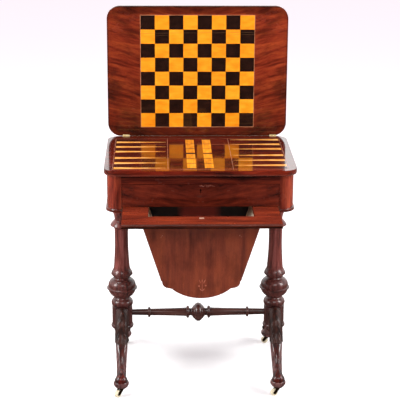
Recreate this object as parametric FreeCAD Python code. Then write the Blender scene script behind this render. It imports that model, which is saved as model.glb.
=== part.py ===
import FreeCAD, Part
import math
import os

# Fold-over games and work table: two hinged leaves on a swivel, a carcase with a frieze
# drawer, a workbox on a pull-out slide, two turned column ends, a turned stretcher and four
# cabriole legs on castors.
# Frame: millimetres, X to the right, Y to the back, Z up. The origin is on the floor below
# the middle of the carcase.

Vector = FreeCAD.Vector
X_AXIS = Vector(1, 0, 0)
Y_AXIS = Vector(0, 1, 0)
Z_AXIS = Vector(0, 0, 1)
ORIGIN = Vector(0, 0, 0)

# ---- leaves ---------------------------------------------------------------------------
playing_height = 732.0
leaf_width = 580.0
leaf_depth = 425.0
leaf_thickness = 18.0
leaf_corner_radius = 42.0
leaf_edge_round = 5.0
leaf_face_gap = 0.5

# ---- inlay ----------------------------------------------------------------------------
inlay_thickness = 1.2
stringing_width = 1.6
chess_count = 8
chess_square = 45.6
field_side_margin = 27.0
field_back_margin = 39.0
field_front_margin = 20.0
points_per_table = 6
point_side_gap = 8.0
point_tip = 1.4
point_base_margin = 2.5
point_tip_margin = 6.5
bar_width = 18.0
centre_panel_width = 194.0
pegging_strip_width = 27.0
pegging_strip_spacing = 53.0
pegging_strip_margin = 7.5
pegging_strip_split = 4.0

# ---- leaf hinges ----------------------------------------------------------------------
hinge_left_inset = 58.0
hinge_right_inset = 42.0
hinge_width = 22.0
hinge_plate_height = 16.0
hinge_plate_thickness = 1.8
hinge_barrel_radius = 4.5
hinge_pin_radius = 2.0
hinge_middle_knuckle = 8.0

# ---- swivel ---------------------------------------------------------------------------
swivel_stud_radius = 6.0
swivel_flange_radius = 30.0
swivel_flange_thickness = 4.0
swivel_washer_radius = 15.0
swivel_washer_thickness = 2.0
swivel_nut_sides = 6
swivel_nut_radius = 11.0
swivel_nut_height = 8.0
stop_dowel_radius = 5.0
stop_dowel_drop = 13.0
stop_dowel_socket = 9.0
pivot_board_thickness = 18.0

# ---- carcase --------------------------------------------------------------------------
leaf_overhang_front = 19.0
leaf_overhang_side = 8.0
carcase_height = 112.5
corner_post_size = 44.0
corner_post_round = 40.0
panel_thickness = 16.0
top_rail_height = 28.0
top_rail_thickness = 20.0
base_moulding_height = 9.5
base_moulding_drop = 3.5
base_moulding_projection = 4.0
base_moulding_round = 3.0
cleat_thickness = 16.0
cleat_length = 200.0
cleat_width = 62.0

# ---- drawer ---------------------------------------------------------------------------
drawer_front_thickness = 18.0
drawer_side_thickness = 9.0
drawer_back_gap = 11.0
drawer_side_drop = 4.0
drawer_bottom_thickness = 6.0
drawer_bottom_rise = 4.0
drawer_groove_depth = 4.0
drawer_runner_thickness = 8.0
drawer_runner_width = 40.0
drawer_guide_height = 26.0
lock_width = 56.0
lock_height = 34.0
lock_thickness = 9.0
keyhole_drop = 17.0
keyhole_radius = 2.8
keyhole_slot_width = 2.6
keyhole_slot_length = 10.0
keyhole_depth_in_lock = 5.0

# ---- slide ----------------------------------------------------------------------------
slide_post_gap = 4.0
slide_back_gap = 3.0
slide_thickness = 13.0
slide_stile_width = 77.0
slide_front_rail_width = 75.0
slide_back_rail_width = 55.0
slide_tongue_width = 8.0
slide_tongue_thickness = 9.0
slide_nosing_projection = 6.0
slide_nosing_round = 4.0
slide_pulled_out = 169.0
slide_guide_set_back = 3.5
strike_plate_size = 14.0
strike_plate_thickness = 1.5
strike_plate_set_back = 10.0

# ---- workbox --------------------------------------------------------------------------
workbox_slide_margin = 54.7
workbox_side_height = 185.5
workbox_side_slope = 0.3235
workbox_ear_step = 2.5
workbox_ear_drop = 1.5
workbox_ear_width = 19.0
workbox_ear_height = 21.0
workbox_shelf_width = 10.0
workbox_shelf_drop = 2.0
workbox_bow_drop = 30.6
workbox_bow_shoulder = 10.0
workbox_bow_fullness = 45.0
workbox_end_thickness = 10.0
workbox_side_thickness = 9.0
workbox_bottom_thickness = 8.0
workbox_end_projection = 2.5

# ---- columns: turnings are (advance, radius) or (advance, radius, radius half way) -------
column_inset = 37.0
column_foot_height = 132.0
column_foot_radius = 18.0
column_tenon_radius = 12.0
column_tenon_length = 15.0
drum_radius = 32.5
drum_height = 60.0
drum_groove_depth = 2.2
drum_groove_height = 3.0
drum_neck_step = 0.7
foot_button_rise = 12.0
foot_button_radius = 26.6
foot_button_hollow = 1.4
base_lip_rise = 5.4
base_lip_radius = 30.0
base_ring_radius = 35.9
base_ring_height = 14.0
collar_turning = [(21.0, 29.3, 34.5), (6.0, 24.1, 25.8), (3.5, 25.9)]
ball_turning = [(25.0, 44.0, 39.6), (2.5, 48.4), (2.3, 48.4), (2.7, 43.2), (26.0, 30.5, 42.2)]
ring_turning = [(4.6, 24.5, 26.0), (12.2, 34.2, 28.6), (16.5, 27.4, 32.2), (8.0, 25.5, 26.2)]
shaft_foot_radius = 23.9
shaft_foot_rise = 21.0
shaft_foot_middle_radius = 24.5
shaft_middle_radius = 21.3
shaft_top_radius = 21.5
cup_turning = [(8.5, 26.0, 22.6), (5.2, 34.3), (1.2, 34.3), (17.0, 20.8, 29.0)]
vase_turning = [(20.5, 24.6, 21.8), (3.0, 25.6), (22.0, 26.2, 25.4), (25.0, 32.0, 27.6)]

# ---- stretcher --------------------------------------------------------------------------
stretcher_height = 199.6
stretcher_boss_width = 24.0
stretcher_boss_radius = 29.9
stretcher_boss_edge_radius = 22.6
stretcher_turning = [
    (6.5, 15.8, 20.2),
    (5.0, 11.6, 12.6),
    (6.5, 14.0, 12.0),
    (8.0, 14.4, 20.0),
    (26.0, 13.1, 13.4),
    (64.0, 11.4, 12.0),
    (27.0, 11.0),
    (6.5, 10.7, 16.8),
]
stretcher_end_radius = 9.4
stretcher_tenon = 12.0

# ---- legs: outlines as fractions of the reach and of the height --------------------------
leg_reach = 205.0
leg_housing_depth = 6.1
leg_top_above_drum = 6.0
leg_half_width = 19.5
leg_crest_fractions = [
    (0.0, 0.955),
    (0.04, 0.968),
    (0.09, 0.995),
    (0.244, 0.964),
    (0.395, 0.843),
    (0.474, 0.665),
    (0.558, 0.538),
    (0.692, 0.386),
    (0.815, 0.284),
    (0.916, 0.228),
    (1.011, 0.160),
    (1.090, 0.104),
]
leg_toe_tip_fractions = (1.122, 0.055)
leg_heel_fractions = 0.86
leg_underside_fractions = [
    (0.86, 0.071),
    (0.737, 0.132),
    (0.591, 0.264),
    (0.479, 0.386),
    (0.367, 0.487),
    (0.188, 0.558),
    (0.0, 0.589),
]
leg_toe_width_fractions = (0.132, 0.846)
leg_width_fractions = [(0.228, 0.64), (0.345, 0.795), (0.553, 0.985), (0.751, 0.95)]
leg_arch_width_fractions = (0.878, 0.9)
foot_pad_radius = 22.5
foot_pad_height = 17.5
foot_pad_round = 4.0

# ---- castors ----------------------------------------------------------------------------
castor_wheel_radius = 11.5
castor_wheel_width = 11.0
castor_wheel_round = 3.5
castor_axle_radius = 2.0
castor_rivet_radius = 3.4
castor_rivet_height = 1.2
castor_trail = 13.0
castor_cheek_thickness = 2.4
castor_cheek_half = 7.0
castor_eye_radius = 4.6
# where the cheek's edges meet its eye, in degrees from the way it trails
castor_cheek_upper_angle = 14.0
castor_cheek_lower_angle = 233.0
castor_headroom = 2.9
castor_crown_radius = 10.5
castor_crown_thickness = 2.6
castor_spindle_radius = 4.0
castor_spindle_length = 26.0
castor_plate_radius = 15.0
castor_plate_thickness = 3.2
# the way each wheel trails behind its spindle, in degrees from +X
castor_heading_front_left = 218.0
castor_heading_front_right = 201.0
castor_heading_back_left = 65.0
castor_heading_back_right = 150.0

# ---- clearances -------------------------------------------------------------------------
running_fit = 0.05
glue_line = 0.05
swivel_gap = 0.5
washer_gap = 0.3
knuckle_gap = 0.2
barrel_gap = 0.35
stop_gap = 0.3
drawer_gap = 0.6
drawer_rail_gap = 0.8
drawer_front_gap = 0.5
slide_gap = 0.3
slide_side_gap = 0.6
slide_drawer_gap = 1.2
castor_gap = 0.3
spindle_end_gap = 0.5
same_place = 0.01

# ---- derived places ---------------------------------------------------------------------
leaf_half = leaf_width / 2
hinge_y = leaf_depth / 2
hinge_axis = Vector(0, hinge_y + leaf_face_gap / 2, playing_height + leaf_face_gap / 2)
hinge_places = (-leaf_half + hinge_left_inset, leaf_half - hinge_right_inset)
leaf_underside = playing_height - leaf_thickness
inlay_bottom = playing_height - inlay_thickness

board_half = chess_count * chess_square / 2
field_half_width = leaf_half - field_side_margin
field_back_y = hinge_y - field_back_margin
field_front_y = -hinge_y + field_front_margin
field_middle_y = (field_back_y + field_front_y) / 2
point_pitch = (field_back_y - field_front_y - bar_width) / (2 * points_per_table)
point_base = point_pitch - point_side_gap

carcase_top = leaf_underside - swivel_gap
carcase_bottom = carcase_top - carcase_height
carcase_half_width = leaf_half - leaf_overhang_side
carcase_half_depth = leaf_depth / 2 - leaf_overhang_front
bay_half_width = carcase_half_width - corner_post_size
bay_half_depth = carcase_half_depth - corner_post_size
inner_half_width = carcase_half_width - panel_thickness
inner_back_y = carcase_half_depth - panel_thickness
rail_back_y = -carcase_half_depth + top_rail_thickness
rail_bottom = carcase_top - top_rail_height
cleat_bottom = carcase_bottom - cleat_thickness

swivel = Vector(leaf_depth / 4, leaf_depth / 4, 0)
stop_offset = inner_back_y - swivel.y - stop_dowel_radius - stop_gap
stop_x = swivel.x + stop_offset
stop_y = swivel.y - stop_offset
pivot_board_half = stop_offset - stop_dowel_radius - stop_gap
pivot_board_bottom = carcase_top - pivot_board_thickness
washer_top = pivot_board_bottom - washer_gap
nut_top = washer_top - swivel_washer_thickness
nut_bottom = nut_top - swivel_nut_height

slide_bottom = carcase_bottom + slide_gap
slide_top = slide_bottom + slide_thickness
slide_half = bay_half_width - slide_post_gap
tongue_bottom = slide_top - slide_tongue_thickness
slide_front_y = -carcase_half_depth - slide_pulled_out
slide_back_y = inner_back_y - slide_back_gap - slide_pulled_out
slide_opening_half = slide_half - slide_stile_width
slide_opening_front = slide_front_y + slide_front_rail_width
slide_opening_back = slide_back_y - slide_back_rail_width

runner_bottom = slide_top + slide_gap
runner_top = runner_bottom + drawer_runner_thickness
drawer_front_bottom = slide_top + slide_drawer_gap
drawer_front_top = rail_bottom - drawer_rail_gap
drawer_front_y = -carcase_half_depth
drawer_inner_y = drawer_front_y + drawer_front_thickness
drawer_back_y = inner_back_y - drawer_back_gap
drawer_half = bay_half_width - drawer_gap
drawer_inner_half = drawer_half - drawer_side_thickness
drawer_box_bottom = runner_top + slide_gap
drawer_box_top = drawer_front_top - drawer_side_drop
drawer_bottom_low = drawer_box_bottom + drawer_bottom_rise
drawer_bottom_high = drawer_bottom_low + drawer_bottom_thickness

workbox_top_half_width = slide_half - workbox_slide_margin
workbox_eaves = slide_bottom - workbox_side_height

column_x = carcase_half_width - column_inset
foot_turning = [
    (foot_button_rise, foot_button_radius, foot_button_radius - foot_button_hollow),
    (base_lip_rise, base_lip_radius),
    (base_ring_height, drum_radius, base_ring_radius),
]
drum_bottom = column_foot_height + sum(step[0] for step in foot_turning)
drum_top = drum_bottom + drum_height
groove_top = drum_top + drum_groove_height
leg_root = drum_radius - leg_housing_depth
leg_span = leg_reach - leg_root

castor_crown_bottom = 2 * castor_wheel_radius + castor_headroom
castor_crown_top = castor_crown_bottom + castor_crown_thickness
castor_plate_bottom = castor_crown_top + castor_gap
leg_bottom = castor_plate_bottom + castor_plate_thickness
leg_rise = drum_top + leg_top_above_drum - leg_bottom
castor_spindle_top = castor_crown_top + castor_spindle_length


# ---- helpers ------------------------------------------------------------------------------
def box(x0, x1, y0, y1, z0, z1):
    return Part.makeBox(x1 - x0, y1 - y0, z1 - z0, Vector(x0, y0, z0))


def rod(radius, start, end):
    return Part.makeCylinder(radius, (end - start).Length, start, end - start)


def post(radius, x, y, z0, z1):
    return rod(radius, Vector(x, y, z0), Vector(x, y, z1))


def prism(corners, travel):
    return Part.Face(Part.makePolygon(corners + corners[:1])).extrude(travel)


def mirrored(shape):
    return shape.mirror(ORIGIN, X_AXIS)


def both_sides(shape):
    return Part.makeCompound([shape, mirrored(shape)])


def joined(shapes):
    return shapes[0].fuse(shapes[1:]).removeSplitter()


def edges_at_height(shape, z):
    level = []
    for edge in shape.Edges:
        if abs(edge.BoundBox.ZMin - z) < same_place and abs(edge.BoundBox.ZMax - z) < same_place:
            level.append(edge)
    return level


def rounded_slab(half_x, half_y, z0, z1, radius):
    slab = box(-half_x, half_x, -half_y, half_y, z0, z1)
    upright = [edge for edge in slab.Edges if edge.BoundBox.ZLength > 0.5 * (z1 - z0)]
    return slab.makeFillet(radius, upright)


def turned(start, radius, steps, place, axis):
    """Revolves a profile made of straight and three-point arc steps along an axis."""
    here = place(start, radius)
    edges = [Part.makeLine(place(start, 0), here)]
    along = start
    for step in steps:
        there = place(along + step[0], step[1])
        if len(step) == 3:
            edges.append(Part.Arc(here, place(along + step[0] / 2, step[2]), there).toShape())
        else:
            edges.append(Part.makeLine(here, there))
        along += step[0]
        here = there
    edges.append(Part.makeLine(here, place(along, 0)))
    edges.append(Part.makeLine(place(along, 0), place(start, 0)))
    return Part.Face(Part.Wire(edges)).revolve(place(0, 0), axis, 360)


def upward(along, radius):
    return Vector(radius, 0, along)


def stand_up(shape):
    """Turns a piece drawn on the lower leaf into the same piece of the upright leaf."""
    upper = shape.copy()
    upper.rotate(ORIGIN, Z_AXIS, 180)
    upper.translate(Vector(0, leaf_depth + leaf_face_gap, 0))
    upper.rotate(hinge_axis, X_AXIS, 90)
    return upper


# ---- leaf hinges --------------------------------------------------------------------------
def on_hinge(radius, x0, x1):
    return rod(radius, hinge_axis + X_AXIS * x0, hinge_axis + X_AXIS * x1)


def hinge_flap(x):
    """Plate let into the square back edge of the lower leaf, flush with its playing face."""
    y0 = hinge_y - hinge_plate_thickness
    z0 = playing_height - hinge_plate_height
    return box(x - hinge_width / 2, x + hinge_width / 2, y0, hinge_y, z0, playing_height)


def hinge_bore(x):
    return on_hinge(hinge_pin_radius + running_fit, x - hinge_width, x + hinge_width)


def outer_knuckle_plate(x):
    half = hinge_width / 2
    slot = hinge_middle_knuckle / 2 + knuckle_gap
    left = on_hinge(hinge_barrel_radius, x - half, x - slot)
    right = on_hinge(hinge_barrel_radius, x + slot, x + half)
    plate = joined([hinge_flap(x), left, right])
    return plate.cut([on_hinge(hinge_barrel_radius + barrel_gap, x - slot, x + slot), hinge_bore(x)])


def middle_knuckle_plate(x):
    half = hinge_middle_knuckle / 2
    plate = joined([hinge_flap(x), on_hinge(hinge_barrel_radius, x - half, x + half)])
    left = on_hinge(hinge_barrel_radius + barrel_gap, x - hinge_width, x - half)
    right = on_hinge(hinge_barrel_radius + barrel_gap, x + half, x + hinge_width)
    return plate.cut([left, right, hinge_bore(x)])


def hinge_pins():
    half = hinge_width / 2
    return Part.makeCompound([on_hinge(hinge_pin_radius, x - half, x + half) for x in hinge_places])


def leaf_blank(places):
    leaf = rounded_slab(leaf_half, hinge_y, leaf_underside, playing_height, leaf_corner_radius)
    lower_edges = edges_at_height(leaf, leaf_underside)
    moulded = [edge for edge in lower_edges if edge.BoundBox.YMin < hinge_y - same_place]
    leaf = leaf.makeFillet(leaf_edge_round, moulded)
    reach = hinge_width / 2 + knuckle_gap
    for x in places:
        leaf = leaf.cut([on_hinge(hinge_barrel_radius + barrel_gap, x - reach, x + reach)])
        leaf = leaf.cut([hinge_flap(x)])
    return leaf


# ---- upper leaf and chessboard --------------------------------------------------------------
def chess_squares(colour):
    """Squares of one colour; the square nearest the origin corner has colour 0."""
    squares = []
    for row in range(chess_count):
        for column in range(chess_count):
            if (row + column) % 2 == colour:
                x = -board_half + column * chess_square
                y = -board_half + row * chess_square
                square = box(
                    x, x + chess_square, y, y + chess_square, inlay_bottom, playing_height
                )
                squares.append(square)
    return Part.makeCompound(squares)


def square_tray(half):
    return box(-half, half, -half, half, inlay_bottom, playing_height)


def chess_stringing():
    return square_tray(board_half + stringing_width).cut(square_tray(board_half))


def upper_leaf():
    leaf = leaf_blank([-x for x in hinge_places])
    return leaf.cut(square_tray(board_half + stringing_width))


# ---- lower leaf and games field --------------------------------------------------------------
def inlay_box(x0, x1, y0, y1):
    return box(x0, x1, y0, y1, inlay_bottom, playing_height)


def games_stringing():
    w = stringing_width
    outer = field_half_width
    inner = centre_panel_width / 2
    strips = [
        inlay_box(-outer, outer, field_front_y - w, field_front_y),
        inlay_box(-outer, outer, field_back_y, field_back_y + w),
    ]
    for x in (-outer - w, -inner - w, inner, outer):
        strips.append(inlay_box(x, x + w, field_front_y - w, field_back_y + w))
    return joined(strips)


def backgammon_points(colour):
    """The two tables' points of one colour; 0 starts at the back of the left table."""
    points = []
    for side in (-1, 1):
        base = side * (field_half_width - point_base_margin)
        tip = side * (centre_panel_width / 2 + point_tip_margin)
        for number in range(2 * points_per_table):
            if (number + (side > 0)) % 2 != colour:
                continue
            y = field_back_y - (number + 0.5) * point_pitch
            if number >= points_per_table:
                y -= bar_width
            corners = [
                Vector(base, y - point_base / 2, inlay_bottom),
                Vector(base, y + point_base / 2, inlay_bottom),
                Vector(tip, y + point_tip / 2, inlay_bottom),
                Vector(tip, y - point_tip / 2, inlay_bottom),
            ]
            points.append(prism(corners, Z_AXIS * inlay_thickness))
    return Part.makeCompound(points)


def pegging_strips():
    strips = []
    for x in (-pegging_strip_spacing / 2, pegging_strip_spacing / 2):
        x0 = x - pegging_strip_width / 2
        x1 = x + pegging_strip_width / 2
        half_split = pegging_strip_split / 2
        front = inlay_box(x0, x1, field_front_y + pegging_strip_margin, field_middle_y - half_split)
        back = inlay_box(x0, x1, field_middle_y + half_split, field_back_y - pegging_strip_margin)
        strips += [front, back]
    return Part.makeCompound(strips)


def lower_leaf():
    leaf = leaf_blank(hinge_places)
    inlays = [games_stringing(), pegging_strips(), backgammon_points(0), backgammon_points(1)]
    for inlay in inlays:
        leaf = leaf.cut(inlay.Solids)
    flange_top = leaf_underside + swivel_flange_thickness
    socket_top = leaf_underside + stop_dowel_socket
    flange = post(swivel_flange_radius, swivel.x, swivel.y, leaf_underside, flange_top)
    socket = post(stop_dowel_radius, stop_x, stop_y, leaf_underside, socket_top)
    return leaf.cut([flange, socket])


# ---- swivel ---------------------------------------------------------------------------------
def swivel_plate():
    flange_top = leaf_underside + swivel_flange_thickness
    flange = post(swivel_flange_radius, swivel.x, swivel.y, leaf_underside, flange_top)
    return joined([flange, post(swivel_stud_radius, swivel.x, swivel.y, nut_bottom, flange_top)])


def swivel_washer():
    washer = post(swivel_washer_radius, swivel.x, swivel.y, nut_top, washer_top)
    return washer.cut(post(swivel_stud_radius + running_fit, swivel.x, swivel.y, nut_top, washer_top))


def swivel_nut():
    corners = []
    for step in range(swivel_nut_sides):
        angle = 2 * math.pi * step / swivel_nut_sides
        reach = Vector(math.cos(angle), math.sin(angle), 0) * swivel_nut_radius
        corners.append(Vector(swivel.x, swivel.y, nut_bottom) + reach)
    nut = prism(corners, Z_AXIS * swivel_nut_height)
    return nut.cut(post(swivel_stud_radius + running_fit, swivel.x, swivel.y, nut_bottom, nut_top))


def swivel_stop():
    """Dowel that meets the side of the pivot board at one end of the turn, the back at the other."""
    z0 = leaf_underside - stop_dowel_drop
    return post(stop_dowel_radius, stop_x, stop_y, z0, leaf_underside + stop_dowel_socket)


def pivot_board():
    x0 = swivel.x - pivot_board_half
    x1 = swivel.x + pivot_board_half
    board = box(x0, x1, rail_back_y, inner_back_y, pivot_board_bottom, carcase_top)
    hole = swivel_stud_radius + running_fit
    return board.cut(post(hole, swivel.x, swivel.y, pivot_board_bottom, carcase_top))


# ---- carcase --------------------------------------------------------------------------------
def corner_blocks():
    blocks = []
    for x0, x1 in ((bay_half_width, carcase_half_width), (-carcase_half_width, -bay_half_width)):
        for y0, y1 in ((bay_half_depth, carcase_half_depth), (-carcase_half_depth, -bay_half_depth)):
            blocks.append(box(x0, x1, y0, y1, carcase_bottom, carcase_top))
    return blocks


def corner_posts():
    outline = rounded_slab(
        carcase_half_width, carcase_half_depth, carcase_bottom, carcase_top, corner_post_round
    )
    return Part.makeCompound([outline.common(block) for block in corner_blocks()])


def carcase_side():
    x0 = inner_half_width
    return box(
        x0, carcase_half_width, -bay_half_depth, bay_half_depth, carcase_bottom, carcase_top
    )


def carcase_back():
    x = bay_half_width
    return box(-x, x, inner_back_y, carcase_half_depth, carcase_bottom, carcase_top)


def front_top_rail():
    x = bay_half_width
    return box(-x, x, -carcase_half_depth, rail_back_y, rail_bottom, carcase_top)


def base_moulding():
    bottom = carcase_bottom - base_moulding_drop
    top = bottom + base_moulding_height
    out = base_moulding_projection
    moulding = rounded_slab(
        carcase_half_width + out, carcase_half_depth + out, bottom, top, corner_post_round + out
    )
    moulding = moulding.makeFillet(base_moulding_round, edges_at_height(moulding, top))
    core = rounded_slab(carcase_half_width, carcase_half_depth, bottom, top, corner_post_round)
    x = bay_half_width
    opening = box(-x, x, -carcase_half_depth - 2 * out, 0, bottom, top)
    return moulding.cut([core, opening])


def drawer_runner():
    x0 = inner_half_width - drawer_runner_width
    y0 = drawer_inner_y + drawer_front_gap
    runner = box(x0, inner_half_width, y0, inner_back_y, runner_bottom, runner_top)
    return runner.cut(corner_blocks())


def drawer_side_guide():
    top = runner_top + drawer_guide_height
    y = bay_half_depth
    return box(bay_half_width, inner_half_width, -y, y, runner_top, top)


def slide_guide():
    """Grooved guide that carries a tongue of the slide on its ledge."""
    x0 = slide_half - slide_tongue_width + slide_side_gap
    y0 = -carcase_half_depth + slide_guide_set_back
    guide = box(x0, inner_half_width, y0, inner_back_y, carcase_bottom, runner_bottom)
    groove_x = slide_half + slide_side_gap
    groove = box(x0, groove_x, y0, inner_back_y, tongue_bottom - slide_gap, runner_bottom)
    return guide.cut([groove] + corner_blocks())


def column_cleat():
    x0 = column_x - cleat_width / 2
    x1 = column_x + cleat_width / 2
    y = cleat_length / 2
    cleat = box(x0, x1, -y, y, cleat_bottom, carcase_bottom)
    hole_top = cleat_bottom + column_tenon_length + glue_line
    return cleat.cut(post(column_tenon_radius + glue_line, column_x, 0, cleat_bottom, hole_top))


# ---- drawer ---------------------------------------------------------------------------------
def keyhole(y0, y1):
    z = drawer_front_top - keyhole_drop
    half = keyhole_slot_width / 2
    return joined([
        rod(keyhole_radius, Vector(0, y0, z), Vector(0, y1, z)),
        box(-half, half, y0, y1, z - keyhole_slot_length, z),
    ])


def lock_case():
    y0 = drawer_inner_y - lock_thickness
    z0 = drawer_front_top - lock_height
    x = lock_width / 2
    return box(-x, x, y0, drawer_inner_y, z0, drawer_front_top)


def drawer_lock():
    y0 = drawer_inner_y - lock_thickness
    return lock_case().cut(keyhole(y0, y0 + keyhole_depth_in_lock))


def drawer_bottom():
    x = drawer_inner_half + drawer_groove_depth
    y0 = drawer_inner_y - drawer_groove_depth
    return box(-x, x, y0, drawer_back_y, drawer_bottom_low, drawer_bottom_high)


def drawer_front():
    x = drawer_half
    front = box(-x, x, drawer_front_y, drawer_inner_y, drawer_front_bottom, drawer_front_top)
    return front.cut([lock_case(), keyhole(drawer_front_y, drawer_inner_y), drawer_bottom()])


def drawer_side():
    x0 = drawer_inner_half
    side = box(x0, drawer_half, drawer_inner_y, drawer_back_y, drawer_box_bottom, drawer_box_top)
    return side.cut(drawer_bottom())


def drawer_back():
    x = drawer_inner_half
    y0 = drawer_back_y - drawer_side_thickness
    return box(-x, x, y0, drawer_back_y, drawer_bottom_high, drawer_box_top)


# ---- slide ----------------------------------------------------------------------------------
def slide_stile():
    x0 = slide_opening_half
    stile = box(x0, slide_half, slide_front_y, slide_back_y, slide_bottom, slide_top)
    x1 = slide_half - slide_tongue_width
    return stile.cut(box(x1, slide_half, slide_front_y, slide_back_y, slide_bottom, tongue_bottom))


def strike_plate():
    x = strike_plate_size / 2
    y1 = slide_opening_front - strike_plate_set_back
    return box(-x, x, y1 - strike_plate_size, y1, slide_top - strike_plate_thickness, slide_top)


def slide_front_rail():
    x = slide_opening_half
    rail = box(-x, x, slide_front_y, slide_opening_front, slide_bottom, slide_top)
    return rail.cut(strike_plate())


def slide_back_rail():
    x = slide_opening_half
    return box(-x, x, slide_opening_back, slide_back_y, slide_bottom, slide_top)


def slide_nosing():
    y0 = slide_front_y - slide_nosing_projection
    nosing = box(-slide_half, slide_half, y0, slide_front_y, slide_bottom, slide_top)
    front = [edge for edge in nosing.Edges if edge.BoundBox.YMax < y0 + same_place]
    long = [edge for edge in front if edge.BoundBox.XLength > slide_half]
    return nosing.makeFillet(slide_nosing_round, long)


# ---- workbox --------------------------------------------------------------------------------
def workbox_outline(inset, y):
    """Face with the outline of the box's ends, drawn in by one amount at sides and bottom."""
    lean = math.hypot(1, workbox_side_slope)
    eaves_x = workbox_top_half_width - workbox_side_slope * workbox_side_height
    ear = (eaves_x - workbox_ear_step - inset, workbox_eaves - workbox_ear_drop)
    shelf = (ear[0] - workbox_ear_width, ear[1] - workbox_ear_height + inset)
    quarter = 1 - math.sqrt(0.5)
    bend = (
        ear[0] - quarter * workbox_ear_width,
        shelf[1] + quarter * (ear[1] - shelf[1]),
    )
    bow = (shelf[0] - workbox_shelf_width, shelf[1] - workbox_shelf_drop)
    bow_bottom = bow[1] - workbox_bow_drop
    shoulder = (bow[0] - workbox_bow_shoulder, bow[1] - workbox_bow_shoulder)

    def at(point, side):
        return Vector(side * point[0], y, point[1])

    edges = []
    for side in (1, -1):
        top = at((workbox_top_half_width - inset * lean, slide_bottom), side)
        eaves = at((eaves_x - inset * lean, workbox_eaves), side)
        edges.append(Part.makeLine(top, eaves))
        edges.append(Part.makeLine(eaves, at(ear, side)))
        edges.append(Part.Arc(at(ear, side), at(bend, side), at(shelf, side)).toShape())
        edges.append(Part.makeLine(at(shelf, side), at(bow, side)))
        curve = Part.BezierCurve()
        poles = [bow, shoulder, (workbox_bow_fullness, bow_bottom), (0, bow_bottom)]
        curve.setPoles([at(pole, side) for pole in poles])
        edges.append(curve.toShape())
    top_x = workbox_top_half_width - inset * lean
    edges.append(Part.makeLine(at((top_x, slide_bottom), 1), at((top_x, slide_bottom), -1)))
    return Part.Face(Part.Wire(Part.__sortEdges__(edges)))


def workbox_end(y0):
    return workbox_outline(0, y0).extrude(Y_AXIS * workbox_end_thickness)


def workbox_length():
    return Y_AXIS * (slide_opening_back - slide_opening_front)


def workbox_side():
    lean = math.hypot(1, workbox_side_slope)
    outer = workbox_top_half_width - workbox_end_projection * lean
    inner = outer - workbox_side_thickness * lean
    fall = workbox_side_slope * workbox_side_height
    y = slide_opening_front
    corners = [
        Vector(outer, y, slide_bottom),
        Vector(inner, y, slide_bottom),
        Vector(inner - fall, y, workbox_eaves),
        Vector(outer - fall, y, workbox_eaves),
    ]
    return prism(corners, workbox_length())


def workbox_bottom():
    y = slide_opening_front
    travel = workbox_length()
    outer = workbox_outline(workbox_end_projection, y).extrude(travel)
    hollow = workbox_outline(workbox_end_projection + workbox_bottom_thickness, y).extrude(travel)
    x = workbox_top_half_width
    above = box(-x, x, y, slide_opening_back, workbox_eaves, slide_bottom)
    return outer.cut([hollow, above])


# ---- columns and stretcher ------------------------------------------------------------------
def column():
    """A column standing on the Z axis, housed for its legs."""
    groove = (drum_groove_height / 2, drum_radius - drum_groove_depth)
    rest = (drum_groove_height / 2, drum_radius - drum_neck_step)
    lower = foot_turning + [(drum_height, drum_radius), groove, rest]
    lower += collar_turning + ball_turning + ring_turning
    lower += [(shaft_foot_rise, shaft_foot_radius, shaft_foot_middle_radius)]
    upper = cup_turning + vase_turning
    used = sum(step[0] for step in lower + upper)
    shaft = cleat_bottom - column_foot_height - used
    steps = lower + [(shaft, shaft_top_radius, shaft_middle_radius)] + upper
    body = turned(column_foot_height, column_foot_radius, steps, upward, Z_AXIS)
    tenon = post(column_tenon_radius, 0, 0, cleat_bottom, cleat_bottom + column_tenon_length)
    housings = []
    far = 2 * drum_radius
    low = leg_bottom + leg_underside_fractions[-1][1] * leg_rise
    for y0, y1 in ((leg_root, far), (-far, -leg_root)):
        housings.append(box(-leg_half_width, leg_half_width, y0, y1, low, groove_top))
    return joined([body, tenon]).cut(housings)


def right_column():
    """The column at the right, bored for the stretcher."""
    hole = rod(
        stretcher_end_radius + glue_line,
        Vector(-2 * drum_radius, 0, stretcher_height),
        Vector(-drum_radius + stretcher_tenon + glue_line, 0, stretcher_height),
    )
    shape = column().cut(hole)
    shape.translate(X_AXIS * column_x)
    return shape


def stretcher():
    before = [stretcher_boss_edge_radius] + [step[1] for step in stretcher_turning]
    used = stretcher_boss_width / 2 + sum(step[0] for step in stretcher_turning)
    shoulder = column_x - drum_radius
    end = shoulder + stretcher_tenon
    steps = [(stretcher_tenon, stretcher_end_radius), (shoulder - used, before[-1])]
    for index in reversed(range(len(stretcher_turning))):
        step = stretcher_turning[index]
        steps.append((step[0], before[index]) + step[2:])
    steps.append((stretcher_boss_width, stretcher_boss_edge_radius, stretcher_boss_radius))
    steps += stretcher_turning
    steps += [(shoulder - used, stretcher_end_radius), (stretcher_tenon, stretcher_end_radius)]

    def sideways(along, radius):
        return Vector(along, 0, stretcher_height + radius)

    return turned(-end, stretcher_end_radius, steps, sideways, X_AXIS)


# ---- legs -----------------------------------------------------------------------------------
def curve_through(points):
    curve = Part.BSplineCurve()
    curve.interpolate(points)
    return curve.toShape()


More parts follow.
